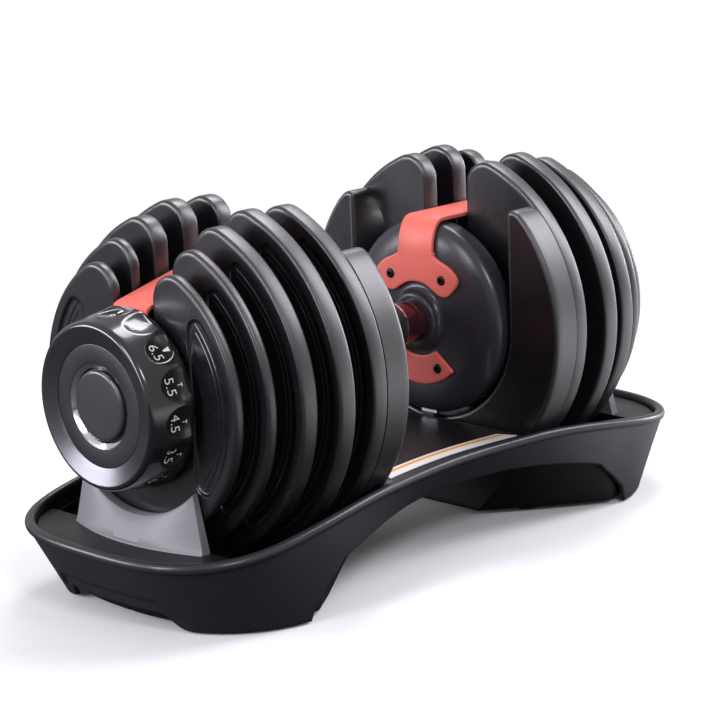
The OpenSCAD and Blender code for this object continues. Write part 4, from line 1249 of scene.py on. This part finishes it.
def add_floor():
    """A floor that the camera sees as white and that lights the tray mostly from its front right."""
    mesh = bpy.data.meshes.new("floor")
    mesh.from_pydata([(x, y, FLOOR_Z) for x, y in ((-6, -6), (6, -6), (6, 6), (-6, 6))], [], [(0, 1, 2, 3)])
    mat = bpy.data.materials.new("floor_white")
    mat.use_nodes = True
    tree = mat.node_tree
    place = add(tree, "ShaderNodeTexCoord").outputs["Object"]
    camera_ray = add(tree, "ShaderNodeLightPath").outputs["Is Camera Ray"]
    grain = add(tree, "ShaderNodeTexNoise", {"Vector": place, "Scale": 40})
    tone = spread(tree, grain.outputs["Fac"], (0, 1, 0.86, 0.89))
    spot = add(tree, "ShaderNodeSeparateXYZ", {0: place}).outputs
    bounce = spread(tree, calc(tree, "SUBTRACT", spot["X"], spot["Y"]), (0.12, 0.62, 0.03, 1),
                    interpolation_type="SMOOTHSTEP")
    seen = spread(tree, camera_ray, (0, 1, bounce, 1))
    shader = fill(tree, tree.nodes["Principled BSDF"], {
        "Roughness": 0.7, "Specular IOR Level": 0.2, "Base Color": calc(tree, "MULTIPLY", tone, seen)})
    reach = add(tree, "ShaderNodeVectorMath", {0: place}, operation="LENGTH").outputs["Value"]
    fade = spread(tree, reach, (0.24, 0.7, 0, 1), interpolation_type="SMOOTHSTEP")
    white = add(tree, "ShaderNodeEmission")
    mixed = add(tree, "ShaderNodeMixShader", {0: calc(tree, "MULTIPLY", fade, camera_ray), 1: shader.outputs[0],
                                              2: white.outputs[0]})
    fill(tree, tree.nodes["Material Output"], {"Surface": mixed.outputs[0]})
    mesh.materials.append(mat)
    obj = new_object("floor", mesh)


def add_world(scene):
    """A white backdrop that lights the pieces at about half its strength."""
    scene.world = bpy.data.worlds.new("studio")
    scene.world.use_nodes = True
    tree = scene.world.node_tree
    camera_ray = add(tree, "ShaderNodeLightPath").outputs["Is Camera Ray"]
    strength = spread(tree, camera_ray, (0, 1, AMBIENT, 1))
    fill(tree, tree.nodes["Background"], {"Color": (1, 1, 1, 1), "Strength": strength})


class DUMBBELL_OT_stage(bpy.types.Operator):
    """Sets the floor, the soft lights, the world and the camera"""
    bl_idname = "dumbbell.stage"
    bl_label = "Stage"

    def execute(self, context):
        scene = context.scene
        scene.view_settings.view_transform = "Standard"
        add_floor()
        add_world(scene)
        for name, place, aim, size, power in SOFTBOXES:
            light = bpy.data.lights.new(name, "AREA")
            light.shape = "RECTANGLE"
            light.size, light.size_y = size
            light.energy = power
            light.color = (0.95, 0.92, 1.0)
            obj = new_object(name, light)
            obj.location = place
            obj.rotation_euler = facing(Vector(aim) - Vector(place)).to_euler()
        s = scene.dumbbell_stage
        camera = bpy.data.cameras.new("camera")
        camera.lens = s.lens
        camera.sensor_width = 36
        camera.clip_end = 20
        scene.camera = new_object("camera", camera)
        flat = cos(s.elevation)
        back = Vector((sin(s.azimuth) * flat, -cos(s.azimuth) * flat, sin(s.elevation)))
        scene.camera.location = Vector((0, 0, 0.104)) + back * s.distance
        scene.camera.rotation_euler = (facing(-back) @ Quaternion((0, 0, 1), s.roll)).to_euler()
        return {"FINISHED"}


# ---------------------------------------------------------------- panel and registration

class DUMBBELL_PT_panel(bpy.types.Panel):
    """Lists the pieces that the dumbbell is built from"""
    bl_idname = "DUMBBELL_PT_panel"
    bl_label = "Adjustable Dumbbell"
    bl_space_type = "VIEW_3D"
    bl_region_type = "UI"
    bl_category = "Dumbbell"

    def draw(self, context):
        for operator in BUILD_ORDER:
            self.layout.operator(operator.bl_idname)


BUILD_ORDER = (DUMBBELL_OT_stage, DUMBBELL_OT_plates, DUMBBELL_OT_grip, DUMBBELL_OT_covers, DUMBBELL_OT_brackets,
               DUMBBELL_OT_selectors, DUMBBELL_OT_dials, DUMBBELL_OT_tray)
SETTINGS = {"dumbbell_plates": PlateSettings, "dumbbell_dials": DialSettings, "dumbbell_handle": HandleSettings,
            "dumbbell_tray": TraySettings, "dumbbell_stage": StageSettings}
CLASSES = (*SETTINGS.values(), *BUILD_ORDER, DUMBBELL_PT_panel)


def register():
    for cls in CLASSES:
        bpy.utils.register_class(cls)
    for name, cls in SETTINGS.items():
        setattr(bpy.types.Scene, name, bpy.props.PointerProperty(type=cls))


def unregister():
    for name in SETTINGS:
        delattr(bpy.types.Scene, name)
    for cls in reversed(CLASSES):
        bpy.utils.unregister_class(cls)


def main():
    register()
    bpy.ops.dumbbell.stage()
    bpy.ops.dumbbell.plates()
    bpy.ops.dumbbell.grip()
    bpy.ops.dumbbell.covers()
    bpy.ops.dumbbell.brackets()
    bpy.ops.dumbbell.selectors()
    bpy.ops.dumbbell.dials()
    bpy.ops.dumbbell.tray()


if __name__ == "__main__":
    main()
